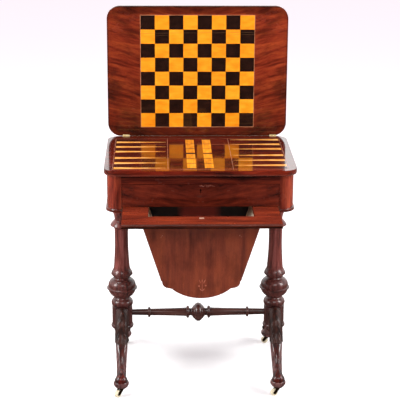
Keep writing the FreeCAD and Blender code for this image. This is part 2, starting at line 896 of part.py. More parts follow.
def leg_side_block():
    def at(point):
        y = leg_root + point[0] * leg_span
        return Vector(-leg_half_width, y, leg_bottom + point[1] * leg_rise)

    crest = [at(point) for point in leg_crest_fractions]
    under = [at(point) for point in leg_underside_fractions]
    toe = at(leg_toe_tip_fractions)
    toe_foot = at((leg_toe_tip_fractions[0], 0))
    heel = at((leg_heel_fractions, 0))
    edges = [
        Part.makeLine(under[-1], crest[0]),
        curve_through(crest),
        Part.makeLine(crest[-1], toe),
        Part.makeLine(toe, toe_foot),
        Part.makeLine(toe_foot, heel),
        Part.makeLine(heel, under[0]),
        curve_through(under),
    ]
    return Part.Face(Part.Wire(edges)).extrude(X_AXIS * 2 * leg_half_width)


def leg_front_block():
    def at(point, side):
        x = side * point[1] * leg_half_width
        return Vector(x, leg_root, leg_bottom + point[0] * leg_rise)

    edges = []
    foot = (0, leg_toe_width_fractions[1])
    for side in (1, -1):
        outline = [leg_toe_width_fractions] + leg_width_fractions + [leg_arch_width_fractions]
        flank = [at(point, side) for point in outline]
        edges.append(Part.makeLine(at(foot, side), flank[0]))
        edges.append(curve_through(flank))
    right = at(leg_arch_width_fractions, 1)
    left = at(leg_arch_width_fractions, -1)
    edges.append(Part.Arc(right, at((1, 0), 1), left).toShape())
    edges.append(Part.makeLine(at(foot, 1), at(foot, -1)))
    return Part.Face(Part.Wire(Part.__sortEdges__(edges))).extrude(Y_AXIS * 2 * leg_span)


def leg():
    """A leg that reaches towards +Y from a column standing on the Z axis."""
    limb = leg_side_block().common(leg_front_block())
    pad = post(foot_pad_radius, 0, leg_reach, leg_bottom, leg_bottom + foot_pad_height)
    pad = pad.makeFillet(foot_pad_round, edges_at_height(pad, leg_bottom + foot_pad_height))
    hole_top = castor_spindle_top + spindle_end_gap
    hole = post(castor_spindle_radius + running_fit, 0, leg_reach, leg_bottom, hole_top)
    return joined([limb, pad]).cut(hole)


def set_leg(shape, side, end):
    """Moves a leg from the Z axis to the left or right column, at the front or the back."""
    placed = shape.copy()
    if end < 0:
        placed.rotate(ORIGIN, Z_AXIS, 180)
    placed.translate(X_AXIS * side * column_x)
    return placed


# ---- castors --------------------------------------------------------------------------------
def castor_plates():
    plates = []
    for x in (-column_x, column_x):
        for y in (-leg_reach, leg_reach):
            plate = post(castor_plate_radius, x, y, castor_plate_bottom, leg_bottom)
            hole = post(castor_spindle_radius + running_fit, x, y, castor_plate_bottom, leg_bottom)
            plates.append(plate.cut(hole))
    return Part.makeCompound(plates)


def on_eye(centre, angle):
    turn = math.radians(angle)
    return centre + Vector(math.cos(turn), 0, math.sin(turn)) * castor_eye_radius


def castor_horn():
    """Horn with its riveted axle, the spindle on the Z axis and the wheel towards +X."""
    crown = post(castor_crown_radius, 0, 0, castor_crown_bottom, castor_crown_top)
    spindle = post(castor_spindle_radius, 0, 0, castor_crown_bottom, castor_spindle_top)
    inner = castor_wheel_width / 2 + castor_gap
    outer = inner + castor_cheek_thickness
    z = castor_wheel_radius
    axle_ends = (Vector(castor_trail, -outer, z), Vector(castor_trail, outer, z))
    pieces = [crown, spindle, rod(castor_axle_radius, axle_ends[0], axle_ends[1])]
    for side in (-1, 1):
        y = side * inner
        through = Y_AXIS * side * castor_cheek_thickness
        centre = Vector(castor_trail, y, z)
        corners = [
            Vector(-castor_cheek_half, y, castor_crown_top),
            Vector(castor_cheek_half, y, castor_crown_top),
            on_eye(centre, castor_cheek_upper_angle),
            on_eye(centre, castor_cheek_lower_angle),
        ]
        rivet_end = Vector(castor_trail, side * (outer + castor_rivet_height), z)
        pieces.append(prism(corners, through))
        pieces.append(rod(castor_eye_radius, centre, centre + through))
        pieces.append(rod(castor_rivet_radius, centre, rivet_end))
    return joined(pieces)


def castor_wheel():
    half = castor_wheel_width / 2
    start = Vector(castor_trail, -half, castor_wheel_radius)
    end = Vector(castor_trail, half, castor_wheel_radius)
    wheel = rod(castor_wheel_radius, start, end)
    rims = [edge for edge in wheel.Edges if edge.BoundBox.YLength < same_place]
    wheel = wheel.makeFillet(castor_wheel_round, rims)
    return wheel.cut(rod(castor_axle_radius + running_fit, start, end))


def set_castor(shape, side, end, heading):
    placed = shape.copy()
    placed.rotate(ORIGIN, Z_AXIS, heading)
    placed.translate(Vector(side * column_x, end * leg_reach, 0))
    return placed


# ---- the table --------------------------------------------------------------------------------
parts = {}
parts["upper_leaf"] = stand_up(upper_leaf())
parts["chess_squares_light"] = stand_up(chess_squares(0))
parts["chess_squares_dark"] = stand_up(chess_squares(1))
parts["chess_stringing"] = stand_up(chess_stringing())
parts["hinge_plates_upper"] = stand_up(
    Part.makeCompound([middle_knuckle_plate(-x) for x in hinge_places])
)
parts["lower_leaf"] = lower_leaf()
parts["backgammon_points_dark"] = backgammon_points(0)
parts["backgammon_points_light"] = backgammon_points(1)
parts["games_stringing"] = games_stringing()
parts["pegging_strips"] = pegging_strips()
parts["hinge_plates_lower"] = Part.makeCompound([outer_knuckle_plate(x) for x in hinge_places])
parts["hinge_pins"] = hinge_pins()
parts["swivel_plate"] = swivel_plate()
parts["swivel_washer"] = swivel_washer()
parts["swivel_nut"] = swivel_nut()
parts["swivel_stop"] = swivel_stop()

parts["pivot_board"] = pivot_board()
parts["corner_posts"] = corner_posts()
parts["carcase_side_left"] = mirrored(carcase_side())
parts["carcase_side_right"] = carcase_side()
parts["carcase_back"] = carcase_back()
parts["front_top_rail"] = front_top_rail()
parts["base_moulding"] = base_moulding()
parts["drawer_runners"] = both_sides(drawer_runner())
parts["drawer_side_guides"] = both_sides(drawer_side_guide())
parts["slide_guides"] = both_sides(slide_guide())
parts["column_cleats"] = both_sides(column_cleat())

parts["drawer_front"] = drawer_front()
parts["drawer_side_left"] = mirrored(drawer_side())
parts["drawer_side_right"] = drawer_side()
parts["drawer_back"] = drawer_back()
parts["drawer_bottom"] = drawer_bottom()
parts["drawer_lock"] = drawer_lock()

parts["slide_stile_left"] = mirrored(slide_stile())
parts["slide_stile_right"] = slide_stile()
parts["slide_front_rail"] = slide_front_rail()
parts["slide_back_rail"] = slide_back_rail()
parts["slide_nosing"] = slide_nosing()
parts["slide_strike_plate"] = strike_plate()
parts["workbox_front"] = workbox_end(slide_opening_front - workbox_end_thickness)
parts["workbox_back"] = workbox_end(slide_opening_back)
parts["workbox_side_left"] = mirrored(workbox_side())
parts["workbox_side_right"] = workbox_side()
parts["workbox_bottom"] = workbox_bottom()

parts["column_right"] = right_column()
parts["column_left"] = mirrored(parts["column_right"])
parts["stretcher"] = stretcher()

one_leg = leg()
one_horn = castor_horn()
one_wheel = castor_wheel()
corners = {
    "front_left": (-1, -1, castor_heading_front_left),
    "front_right": (1, -1, castor_heading_front_right),
    "back_left": (-1, 1, castor_heading_back_left),
    "back_right": (1, 1, castor_heading_back_right),
}
for place_name, (side, end, heading) in corners.items():
    parts["leg_" + place_name] = set_leg(one_leg, side, end)
    parts["castor_horn_" + place_name] = set_castor(one_horn, side, end, heading)
    parts["castor_wheel_" + place_name] = set_castor(one_wheel, side, end, heading)
parts["castor_plates"] = castor_plates()

os.makedirs("parts", exist_ok=True)
for name, shape in parts.items():
    shape.exportStep("parts/" + name + ".step")
    print(name, len(shape.Solids), round(shape.Volume / 1000, 2), shape.isValid())
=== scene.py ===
import math

import bmesh
import bpy
from mathutils import Matrix, Vector


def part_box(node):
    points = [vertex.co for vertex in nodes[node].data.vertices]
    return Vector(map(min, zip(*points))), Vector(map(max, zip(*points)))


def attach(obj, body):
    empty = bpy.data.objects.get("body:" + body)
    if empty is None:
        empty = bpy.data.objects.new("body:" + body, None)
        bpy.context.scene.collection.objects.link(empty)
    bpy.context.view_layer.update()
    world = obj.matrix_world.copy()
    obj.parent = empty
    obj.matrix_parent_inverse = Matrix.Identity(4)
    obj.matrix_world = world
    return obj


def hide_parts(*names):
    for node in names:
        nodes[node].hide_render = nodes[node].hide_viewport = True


# The looks of a fold-over games and work table in French-polished rosewood: finishes for
# every piece of the frame, and carved legs, screws, lining and pegging holes around it.
# Metres, X to the right, Y to the back, Z up, origin on the floor under the carcase. Shapes
# and places below are written in millimetres, and lamps, camera and floor in metres.

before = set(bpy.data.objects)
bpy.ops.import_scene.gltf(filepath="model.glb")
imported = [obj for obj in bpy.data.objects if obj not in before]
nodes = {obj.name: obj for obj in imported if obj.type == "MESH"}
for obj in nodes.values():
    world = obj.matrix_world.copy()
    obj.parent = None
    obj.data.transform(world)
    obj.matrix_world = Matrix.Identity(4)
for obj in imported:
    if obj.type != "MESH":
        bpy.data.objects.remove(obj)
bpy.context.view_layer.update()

MM = 0.001
scene = bpy.context.scene
scene.view_settings.view_transform = "Standard"


# ---- colour and nodes ----
def linear(hex_colour):
    """sRGB hex colour to linear light, with alpha 1."""
    channels = []
    for start in (1, 3, 5):
        value = int(hex_colour[start:start + 2], 16) / 255
        low = value / 12.92
        high = ((value + 0.055) / 1.055) ** 2.4
        channels.append(low if value <= 0.04045 else high)
    return (*channels, 1.0)


def fill(tree, node, inputs):
    """Gives a node's sockets constants or links; a linked node stands for its first output."""
    for key, value in inputs.items():
        if isinstance(value, bpy.types.Node):
            value = value.outputs[0]
        if isinstance(value, bpy.types.NodeSocket):
            tree.links.new(value, node.inputs[key])
        else:
            node.inputs[key].default_value = value


def add(tree, kind, inputs=None, **settings):
    """Adds a shader node, with its socket values or links and its own settings."""
    node = tree.nodes.new("ShaderNode" + kind)
    for key, value in settings.items():
        setattr(node, key, value)
    fill(tree, node, inputs or {})
    return node


def start_material(name):
    """A new material, with its node tree and its shader."""
    material = bpy.data.materials.new(name)
    material.use_nodes = True
    tree = material.node_tree
    return material, tree, tree.nodes["Principled BSDF"]


def set_ramp(node, stops):
    """Sets a colour ramp's stops from (position, hex colour) pairs."""
    ramp = node.color_ramp
    while len(ramp.elements) < len(stops):
        ramp.elements.new(0.5)
    for element, (position, colour) in zip(ramp.elements, stops):
        element.position = position
        element.color = linear(colour)


def ranged(span, levels):
    """Socket values of a map range that goes from one level to the other over a span."""
    return {"From Min": span[0], "From Max": span[1], "To Min": levels[0], "To Max": levels[1]}


# ---- places on a piece ----
# turns, in degrees, that lay the grain along one axis of the piece
GRAIN_UP = (0, 90, 0)
GRAIN_ACROSS = (0, 0, 0)
GRAIN_BACK = (0, 0, 90)


def piece_place(tree, grain=GRAIN_ACROSS, centre=(0, 0, 0), fold=False):
    """Coordinates in metres that stay on the piece, with the grain along their X.

    centre moves the origin in millimetres, and fold mirrors the figure about the origin
    along X, as two leaves of veneer opened like a book.
    """
    place = add(tree, "TexCoord").outputs["Object"]
    shift = tuple(-value * MM for value in centre)
    place = add(tree, "VectorMath", {0: place, 1: shift}, operation="ADD")
    if fold:
        axes = add(tree, "SeparateXYZ", {0: place}).outputs
        side = add(tree, "Math", {0: axes["X"]}, operation="ABSOLUTE")
        place = add(tree, "CombineXYZ", {"X": side, "Y": axes["Y"], "Z": axes["Z"]})
    angles = tuple(math.radians(angle) for angle in grain)
    return add(tree, "VectorRotate", {"Vector": place, "Rotation": angles}, rotation_type="EULER_XYZ")


def shaded(tree, colour, shades):
    """Darkens a colour along the piece.

    Each shade is (axis, start, end, share kept, hex): from start to end, in millimetres, the
    colour goes over to the hex one until only that share of it is kept. The axis "side"
    runs from the middle to both sides.
    """
    if not shades:
        return colour
    axes = add(tree, "SeparateXYZ", {0: add(tree, "TexCoord").outputs["Object"]}).outputs
    for axis, start, end, kept, over in shades:
        place = axes["X" if axis == "side" else axis]
        if axis == "side":
            place = add(tree, "Math", {0: place}, operation="ABSOLUTE")
        limits = ranged((start * MM, end * MM), (0.0, 1.0 - kept))
        fall = add(tree, "MapRange", {"Value": place, **limits})
        colour = add(tree, "Mix", {0: fall, 6: colour, 7: linear(over)}, data_type="RGBA").outputs[2]
    return colour


# ---- patterns ----
def noise(tree, place, size, cut=None, levels=(0.0, 1.0), detail=3.0, roughness=0.5, seed=0.0):
    """Noise whose features are size, length along the grain and width, in millimetres.

    Between the two values of cut it is stretched to the two levels and clamped.
    """
    length, width = size
    scale = (1 / (length * MM), 1 / (width * MM), 1 / (width * MM))
    shift = (seed, seed * 1.7, seed * 2.3)
    moved = add(tree, "Mapping", {"Vector": place, "Scale": scale, "Location": shift})
    inputs = {"Vector": moved, "Scale": 1.0, "Detail": detail, "Roughness": roughness}
    pattern = add(tree, "TexNoise", inputs)
    return add(tree, "MapRange", {"Value": pattern, **ranged(cut, levels)}) if cut else pattern


def patches(tree, colour, over, strength, place, size, cut, **grit):
    """Lays a second colour over a colour in patches of noise; gives the colour and the patches."""
    share = noise(tree, place, size, cut, (0.0, strength), **grit)
    mix = add(tree, "Mix", {0: share, 6: colour, 7: linear(over)}, data_type="RGBA")
    return mix.outputs[2], share


def swayed(tree, place, wave, seed):
    """A place that drifts to both sides of the grain by up to wave millimetres."""
    bend = noise(tree, place, (90, 40), (0.0, 1.0), (-wave * MM, wave * MM), detail=2.0, seed=seed)
    sway = add(tree, "CombineXYZ", {"X": 0.0, "Y": bend, "Z": bend})
    return add(tree, "VectorMath", {0: place, 1: sway}, operation="ADD")


# ---- wood ----
WOOD_IOR = 1.5
SHELLAC_IOR = 1.54
PORE_COLOUR = "#1a0705"
PORE_STRENGTH = 0.35
SMOKE_COLOUR = "#1d0805"
# how much duller the polish is in its worn patches
DULLING = 0.12


def french_polish(wood_gloss, polish, softness, ior):
    """Shellac over wood: it gives the gloss, and the wood under it hardly any.

    polish is how much shellac there is, softness how much its surface blurs what it mirrors.
    """
    return {
        "IOR": WOOD_IOR, "Specular IOR Level": wood_gloss, "Coat Weight": polish,
        "Coat Roughness": softness, "Coat IOR": ior,
    }


def rosewood(name, tones, grain=GRAIN_ACROSS, centre=(0, 0, 0), fold=False, band_size=(150, 16),
             streak_size=(60, 2.6), streaks=0.5, roughness=0.2, polish=0.6, seed=0.0, wave=6.0,
             cloud=None, shades=(), softness=0.05):
    """Brazilian rosewood under French polish: dark streaks, open pores and a shellac gloss.

    tones are three hex colours from the dark figure to the light ground, and cloud is the
    size and the strength of smoky patches that cross the grain, where there are any.
    """
    material, tree, shader = start_material(name)
    place = piece_place(tree, grain, centre, fold)
    bent = swayed(tree, place, wave, seed + 5)
    broad = noise(tree, bent, band_size, (0.32, 0.68), detail=4.0, roughness=0.55, seed=seed)
    ramp = add(tree, "ValToRGB", {0: broad})
    set_ramp(ramp, [(0.0, tones[0]), (0.42, tones[1]), (1.0, tones[2])])
    colour, _ = patches(
        tree, ramp, tones[0], streaks, bent, streak_size, (0.5, 0.66), roughness=0.6, seed=seed + 11)
    # pores are drawn 0.6 mm wide, twice the real width, so that they still show
    colour, pores = patches(
        tree, colour, PORE_COLOUR, PORE_STRENGTH, place, (7, 0.6), (0.6, 0.72), detail=1.0,
        seed=seed + 17)
    if cloud:
        size, strength = cloud
        colour, _ = patches(
            tree, colour, SMOKE_COLOUR, strength, place, (size, size * 0.6), (0.48, 0.66),
            roughness=0.6, seed=seed + 31)
    gloss = noise(
        tree, place, (80, 60), (0.35, 0.75), (roughness, roughness + DULLING), roughness=0.6,
        seed=seed + 23)
    relief = {"Height": pores, "Strength": 0.05, "Distance": 0.1 * MM}
    fill(tree, shader, {
        "Base Color": shaded(tree, colour, shades), "Roughness": gloss,
        "Normal": add(tree, "Bump", relief, invert=True),
        **french_polish(0.15, polish, softness, SHELLAC_IOR),
    })
    return material


# share of a shade that comes from the fibres; the rest is clouds in an inlay, rings in plain wood
FIBRE_SHARE = 0.4
RING_FIBRES = 0.35
# height of the lowest row of squares with the board upright, and how far tiles differ
BOARD_FOOT = 762.6
TILE_STEP = 0.12


def tile_shade(tree, cell):
    """A small random step that is the same all over each square tile of cell millimetres."""
    place = piece_place(tree, centre=(0, 0, BOARD_FOOT))
    step = add(tree, "VectorMath", {0: place, 1: (cell * MM, 1.0, cell * MM)}, operation="DIVIDE")
    floor = add(tree, "VectorMath", {0: step}, operation="FLOOR")
    random_value = add(tree, "TexWhiteNoise", {"Vector": floor})
    return add(tree, "MapRange", {"Value": random_value, "To Min": -TILE_STEP, "To Max": TILE_STEP})


def inlay(name, tones, grain=GRAIN_ACROSS, cell=None, roughness=0.22, polish=0.6, seed=0.0, shades=()):
    """Even veneer let into the ground: fine straight grain, each tile a shade of its own."""
    material, tree, shader = start_material(name)
    place = piece_place(tree, grain)
    fibre = noise(tree, place, (45, 1.1), roughness=0.6, seed=seed)
    cloud = noise(tree, place, (30, 14), (0.2, 0.8), (0.0, 1.0 - FIBRE_SHARE), detail=2.0, seed=seed + 3)
    both = add(tree, "Math", {0: fibre, 1: FIBRE_SHARE, 2: cloud}, operation="MULTIPLY_ADD")
    if cell:
        both = add(tree, "Math", {0: both, 1: tile_shade(tree, cell)}, operation="ADD")
    ramp = add(tree, "ValToRGB", {0: add(tree, "MapRange", {"Value": both, **ranged((0.25, 0.8), (0, 1))})})
    set_ramp(ramp, [(0.0, tones[0]), (0.5, tones[1]), (1.0, tones[2])])
    relief = {"Height": fibre, "Strength": 0.06, "Distance": 0.1 * MM}
    fill(tree, shader, {
        "Base Color": shaded(tree, ramp, shades), "Roughness": roughness,
        "Normal": add(tree, "Bump", relief), **french_polish(0.2, polish, 0.06, WOOD_IOR),
    })
    return material


def plain_wood(name, tones, grain, roughness=0.5):
    """Plain oiled hardwood: straight grain, broad rings and fine fibres, and no shellac."""
    material, tree, shader = start_material(name)
    place = piece_place(tree, grain)
    rings = noise(
        tree, place, (220, 9), (0.3, 0.7), (0.0, 1.0 - RING_FIBRES), detail=4.0, roughness=0.55, seed=1.0)
    fibre = noise(tree, place, (30, 1.0), detail=2.0, roughness=0.6, seed=4.0)
    both = add(tree, "Math", {0: fibre, 1: RING_FIBRES, 2: rings}, operation="MULTIPLY_ADD")
    ramp = add(tree, "ValToRGB", {0: both})
    set_ramp(ramp, [(0.1, tones[0]), (0.5, tones[1]), (0.9, tones[2])])
    relief = {"Height": fibre, "Strength": 0.15, "Distance": 0.2 * MM}
    fill(tree, shader, {
        "Base Color": ramp, "Roughness": roughness, "Normal": add(tree, "Bump", relief)})
    return material


def wear_polish(material, worn_at, worn, full_at, full):
    """Thins the shellac from its full weight at one X of the piece to a worn one at another."""
    tree = material.node_tree
    place = add(tree, "TexCoord").outputs["Object"]
    across = add(tree, "SeparateXYZ", {0: place}).outputs["X"]
    limits = ranged((worn_at * MM, full_at * MM), (worn, full))
    weight = add(tree, "MapRange", {"Value": across, **limits})
    fill(tree, tree.nodes["Principled BSDF"], {"Coat Weight": weight})


# ---- metal, china and lining ----
def metal(name, bright, dark, roughness, spot, metallic=1.0):
    """Cast or rolled metal, darker and duller in the spots where it has tarnished."""
    material, tree, shader = start_material(name)
    place = piece_place(tree)
    grit = {"detail": 4.0, "roughness": 0.6, "seed": 2.0}
    colour, _ = patches(tree, linear(bright), dark, 1.0, place, (spot, spot), (0.45, 0.7), **grit)
    worn = noise(tree, place, (spot, spot), (0.4, 0.7), (roughness, roughness + 0.2), **grit)
    fill(tree, shader, {"Base Color": colour, "Roughness": worn, "Metallic": metallic})
    return material


def mottled(name, ground, over, strength, size, cut, sockets, **grit):
    """One colour with patches of a second one; sockets are constant values of the shader."""
    material, tree, shader = start_material(name)
    place = piece_place(tree)
    colour, _ = patches(tree, linear(ground), over, strength, place, size, cut, roughness=0.6, **grit)
    fill(tree, shader, {"Base Color": colour, **sockets})
    return material


def lining_silk(name):
    """Silk pasted on the ends, plum in the middle of the box; towards the sides it goes over to blue-black,
    a painted shade.
    """
    material, tree, shader = start_material(name)
    # painted shade: the ends go over to blue-black towards the sides of the box
    ground = shaded(tree, linear("#a8423a"), (("side", 45, 70, 0.0, "#171320"),))
    place = add(tree, "TexCoord").outputs["Object"]
    colour, _ = patches(
        tree, ground, "#2c2430", 0.25, place, (1.2, 1.2), (0.4, 0.7), detail=2.0, seed=3.0)
    fill(tree, shader, {"Base Color": colour, "Roughness": 0.55, "Sheen Weight": 0.15})
    return material


# ---- shades along the pieces ----
BLACK = "#000000"
# the crossbanded strips above and below the chessboard are darker, and so are the left side
# and the rounded edges of the leaf, and its lower part is browner
UPPER_LEAF_SHADES = (
    ("Z", 1128, 1136, 0.58, BLACK), ("Z", 768, 757, 0.55, BLACK), ("X", 150, -185, 0.82, BLACK),
    ("Z", 1150, 1156, 0.5, BLACK), ("Z", 740, 734, 0.5, BLACK), ("side", 283, 289, 0.5, BLACK),
    ("Z", 930, 885, 0.85, "#241407"),
)
# the games field of the lower leaf is darker than its border, and the foot of its edge is painted paler, a
# painted highlight on its lower round
LOWER_LEAF_SHADES = (("Y", -196, -180, 0.55, BLACK), ("Z", 722, 717, 0.93, "#a08070"))
# painted shade: the satinwood squares are painted darker and browner towards the far side of the board, its
# top when the leaf stands upright
TILE_PAINTED_SHADE = (("Z", 830, 1110, 0.62, "#dd7812"),)
# painted shade: the posts darken towards the drawer, and the top rail towards the leaf above it; the drawer
# front darkens at its ends and along its top edge
POST_PAINTED_SHADE = (("side", 266, 242, 0.55, BLACK),)
RAIL_PAINTED_SHADOW = (("Z", 703, 712, 0.3, BLACK),)
DRAWER_SHADES = (("side", 232, 237.4, 0.75, BLACK), ("Z", 680, 685, 0.8, BLACK))
# below the shaft the turning goes browner, and browner and darker again at the drum
COLUMN_SHADES = (("Z", 365, 340, 0.45, "#2a1b19"), ("Z", 240, 226, 0.6, "#201617"))
# painted shade under the round of the nosing
NOSING_PAINTED_SHADE = (("Z", 610.5, 607, 0.4, BLACK),)

# ---- the materials ----
TILE_SIZE = 45.6
CARVING = {"grain": GRAIN_UP, "band_size": (60, 10), "streaks": 0.2}
MAHOGANY = ("#4a2818", "#6b3f26", "#835234")

MATERIALS = {
    # rosewood veneer, laid and French polished: deep red-brown, with the figure of each sheet
    "upper_leaf": rosewood(
        "rosewood_curl_veneer", ("#54180c", "#782714", "#93391a"), grain=(0, 15, 0),
        centre=(0, 0, 945), fold=True, band_size=(110, 11), streak_size=(24, 1.4),
        streaks=0.65, seed=3.0, wave=10.0, cloud=(110, 0.6), shades=UPPER_LEAF_SHADES),
    "lower_leaf": rosewood(
        "rosewood_straight_veneer", ("#340c07", "#61190c", "#8a2b15"), band_size=(200, 18),
        roughness=0.12, polish=1.0, seed=9.0, shades=LOWER_LEAF_SHADES),
    "rail": rosewood(
        "rosewood_rail_veneer", ("#2a0b07", "#4c160d", "#6b2412"), band_size=(170, 12), seed=14.0,
        shades=RAIL_PAINTED_SHADOW),
    "drawer": rosewood(
        "rosewood_drawer_veneer", ("#2e0d08", "#531a0f", "#6c2616"), fold=True,
        grain=(0, 10, 0), centre=(0, 0, 650), band_size=(110, 20), streaks=0.3, seed=21.0,
        cloud=(45, 0.35), shades=DRAWER_SHADES),
    "post": rosewood(
        "rosewood_post_veneer", ("#45140c", "#78281a", "#9e4026"), grain=GRAIN_UP,
        band_size=(140, 14), seed=27.0, shades=POST_PAINTED_SHADE),
    "workbox": rosewood(
        "rosewood_box_veneer", ("#4f1f15", "#672b1b", "#78351f"), grain=GRAIN_UP, band_size=(220, 22),
        streak_size=(90, 2.4), streaks=0.3, roughness=0.3, polish=0.35, seed=39.0, cloud=(70, 0.3)),
    # solid rosewood, planed and polished: straight streaks along its length
    # painted shade: the nosing's tones are darker than the slide's, for the shade on its rounded front
    "nosing": rosewood(
        "rosewood_nosing", ("#220b05", "#40160b", "#5a2214"), band_size=(150, 10),
        polish=0.2, seed=63.0, shades=NOSING_PAINTED_SHADE),
    "slide": rosewood(
        "rosewood_slide_solid", ("#43150c", "#742716", "#95381c"), band_size=(150, 18), seed=33.0),
    # turned on the lathe and polished there: a softer gloss that rings the mouldings
    "turned": rosewood(
        "rosewood_turned", ("#381616", "#612a24", "#83433e"), grain=GRAIN_UP,
        band_size=(160, 9), streaks=0.2, roughness=0.3, polish=0.5, seed=45.0,
        shades=COLUMN_SHADES, softness=0.22),
    "turned_across": rosewood(
        "rosewood_stretcher", ("#251210", "#3d211d", "#54322c"), band_size=(160, 9), streaks=0.2,
        roughness=0.3, polish=0.5, seed=51.0, softness=0.2),
    # carved with gouges, with little polish in the hollows, so the leaves are nearly matt; the limb is
    # painted paler and pinker, a painted reflection of the white room, and the leaves darker, a painted
    # shade of their hollows
    "carved": rosewood(
        "rosewood_carved", ("#2a1615", "#503130", "#76504e"), grain=GRAIN_UP,
        band_size=(90, 12), streaks=0.2, roughness=0.35, polish=0.3, seed=57.0, softness=0.12),
    "foliage": rosewood(
        "rosewood_foliage", ("#150705", "#29110b", "#3f1c13"), **CARVING, roughness=0.45,
        polish=0.12, seed=69.0, softness=0.1),
    "spear": rosewood(
        "rosewood_spear", ("#1a0605", "#330e09", "#4a1810"), **CARVING, roughness=0.3, seed=71.0),
    "polished_toe": rosewood(
        "rosewood_polished_toe", ("#1c0504", "#380b06", "#581408"), **CARVING, roughness=0.35,
        polish=0.4, seed=73.0),
    # painted shade: near-black wood for the rim round the toe, where the groove's shade falls
    "groove": plain_wood("painted_groove_shade", ("#120605", "#1d0c09", "#27120e"), GRAIN_UP, roughness=0.7),
    # satinwood veneer: golden yellow, even and close in the grain
    "satinwood": inlay(
        "satinwood_tiles", ("#de7c0e", "#ee9018", "#f9a224"), cell=TILE_SIZE, seed=2.0,
        shades=TILE_PAINTED_SHADE),
    "strips": inlay("satinwood_strips", ("#d27a18", "#ea9124", "#f8a535"), GRAIN_BACK, seed=24.0),
    # veneer stained black or dark brown: hardly any figure, with the gloss of the polish
    "ebonised": inlay("ebonised_tiles", ("#150805", "#1f0e09", "#2c150e"), seed=8.0),
    "dark_points": inlay("stained_points", ("#1c0906", "#2c0f0a", "#3a150d"), seed=16.0),
    # ebony bars without polish: black and matt
    "bars": inlay(
        "ebony_bars", ("#0b0604", "#140b07", "#1d100a"), roughness=0.6, polish=0.0, seed=26.0),
    # boxwood: pale yellow and close, browner as a thin string under old shellac
    "boxwood_points": inlay("boxwood_points", ("#de8f38", "#f6ae55", "#ffcf86"), seed=12.0),
    "stringing": inlay("boxwood_stringing", ("#8a4f34", "#a86a4a", "#bf8463"), seed=20.0),
    "games_stringing": inlay("games_stringing", ("#7e4c38", "#9c6a52", "#b88870"), seed=22.0),
    "ornament": inlay("incised_sprig", ("#85402f", "#94503e", "#a25e4b"), GRAIN_UP, seed=28.0),
    # polish scratched or cracked through to the wood: fine lines without gloss
    "scratch": inlay(
        "scratched_polish", ("#8a4a3c", "#a86656", "#c08072"), roughness=0.6, polish=0.0, seed=30.0),
    "hairline": inlay(
        "hairline_crack", ("#3c2814", "#553a1c", "#664826"), roughness=0.6, polish=0.0, seed=31.0),
    # oiled mahogany of the unseen pieces, and bare bored wood: straight grain, nearly matt
    "inside": plain_wood("mahogany_inside", MAHOGANY, GRAIN_BACK),
    "inside_across": plain_wood("mahogany_inside_across", MAHOGANY, GRAIN_ACROSS),
    "bore": plain_wood("bored_wood", ("#5a3210", "#744216", "#8a521e"), GRAIN_UP),
    # rolled brass: warm and bright under lacquer, black-brown where it never was cleaned
    "brass": metal("lacquered_brass", "#f0d9a0", "#a9844a", 0.25, 6.0),
    "old_brass": metal("tarnished_brass", "#3d2d1c", "#17100b", 0.4, 4.0),
    "rubbed_brass": metal("rubbed_brass", "#c49680", "#8a5c48", 0.6, 2.0, metallic=0.6),
    # wrought iron: grey and dull; the lock's iron is painted near-black, a painted shade that makes the
    # keyhole read dark
    "iron": metal("wrought_iron", "#4a4643", "#2a2624", 0.45, 5.0),
    "lock_shade_iron": metal("iron_in_painted_shade", "#0b0a0a", "#050404", 0.7, 5.0),
    # glazed stoneware: cream under a clear gloss, with fine dirt in the glaze
    "china": mottled(
        "glazed_china", "#e2d3b6", "#8a7152", 0.7, (3, 3), (0.5, 0.75),
        {"Roughness": 0.18, "Coat Weight": 0.5}, detail=4.0, seed=7.0),
    # wool baize: brown and quite matt, with a nap of fibres
    "baize": mottled(
        "joint_baize", "#2c1a0c", "#50341c", 1.0, (0.8, 0.8), (0.35, 0.65),
        {"Roughness": 1.0, "Specular IOR Level": 0.1}, detail=2.0, seed=5.0),
    # marbled paper: cream and matt, browned in stains
    "paper": mottled(
        "lining_paper", "#f2dcc2", "#c09a7a", 1.0, (18, 12), (0.42, 0.7), {"Roughness": 0.8},
        detail=4.0, seed=9.0),
    "silk": lining_silk("lining_silk"),
}

# the lower leaf has been rubbed more on the left
wear_polish(MATERIALS["lower_leaf"], worn_at=-90, worn=0.65, full_at=110, full=1.0)

# beginnings of the names of the frame's pieces that each material is for
FINISHES = {
    "upper_leaf": ("upper_leaf",),
    "lower_leaf": ("lower_leaf",),
    "rail": ("front_top_rail", "base_moulding"),
    "drawer": ("drawer_front", "carcase_side_"),
    "post": ("corner_posts",),
    "workbox": ("workbox_",),
    "nosing": ("slide_nosing",),
    "slide": ("slide_stile_", "slide_front_rail", "slide_back_rail"),
    "turned": ("column_left", "column_right", "swivel_stop"),
    "turned_across": ("stretcher",),
    "carved": ("leg_",),
    "satinwood": ("chess_squares_light",),
    "strips": ("pegging_strips",),
    "ebonised": ("chess_squares_dark",),
    "dark_points": ("backgammon_points_dark",),
    "boxwood_points": ("backgammon_points_light",),
    "stringing": ("chess_stringing",),
    "games_stringing": ("games_stringing",),
    "inside": ("pivot_board", "drawer_runners", "drawer_side_", "slide_guides", "column_cleats"),
    "inside_across": ("carcase_back", "drawer_back", "drawer_bottom"),
    "brass": ("hinge_",),
    "old_brass": ("castor_plates", "castor_horn_"),
    "rubbed_brass": ("slide_strike_plate",),
    "iron": ("swivel_plate", "swivel_washer", "swivel_nut"),
    "lock_shade_iron": ("drawer_lock",),
    "china": ("castor_wheel_",),
}
for finish, starts in FINISHES.items():
    for name in nodes:
        if name.startswith(starts):
            mesh = nodes[name].data
            mesh.materials.clear()
            mesh.materials.append(MATERIALS[finish])


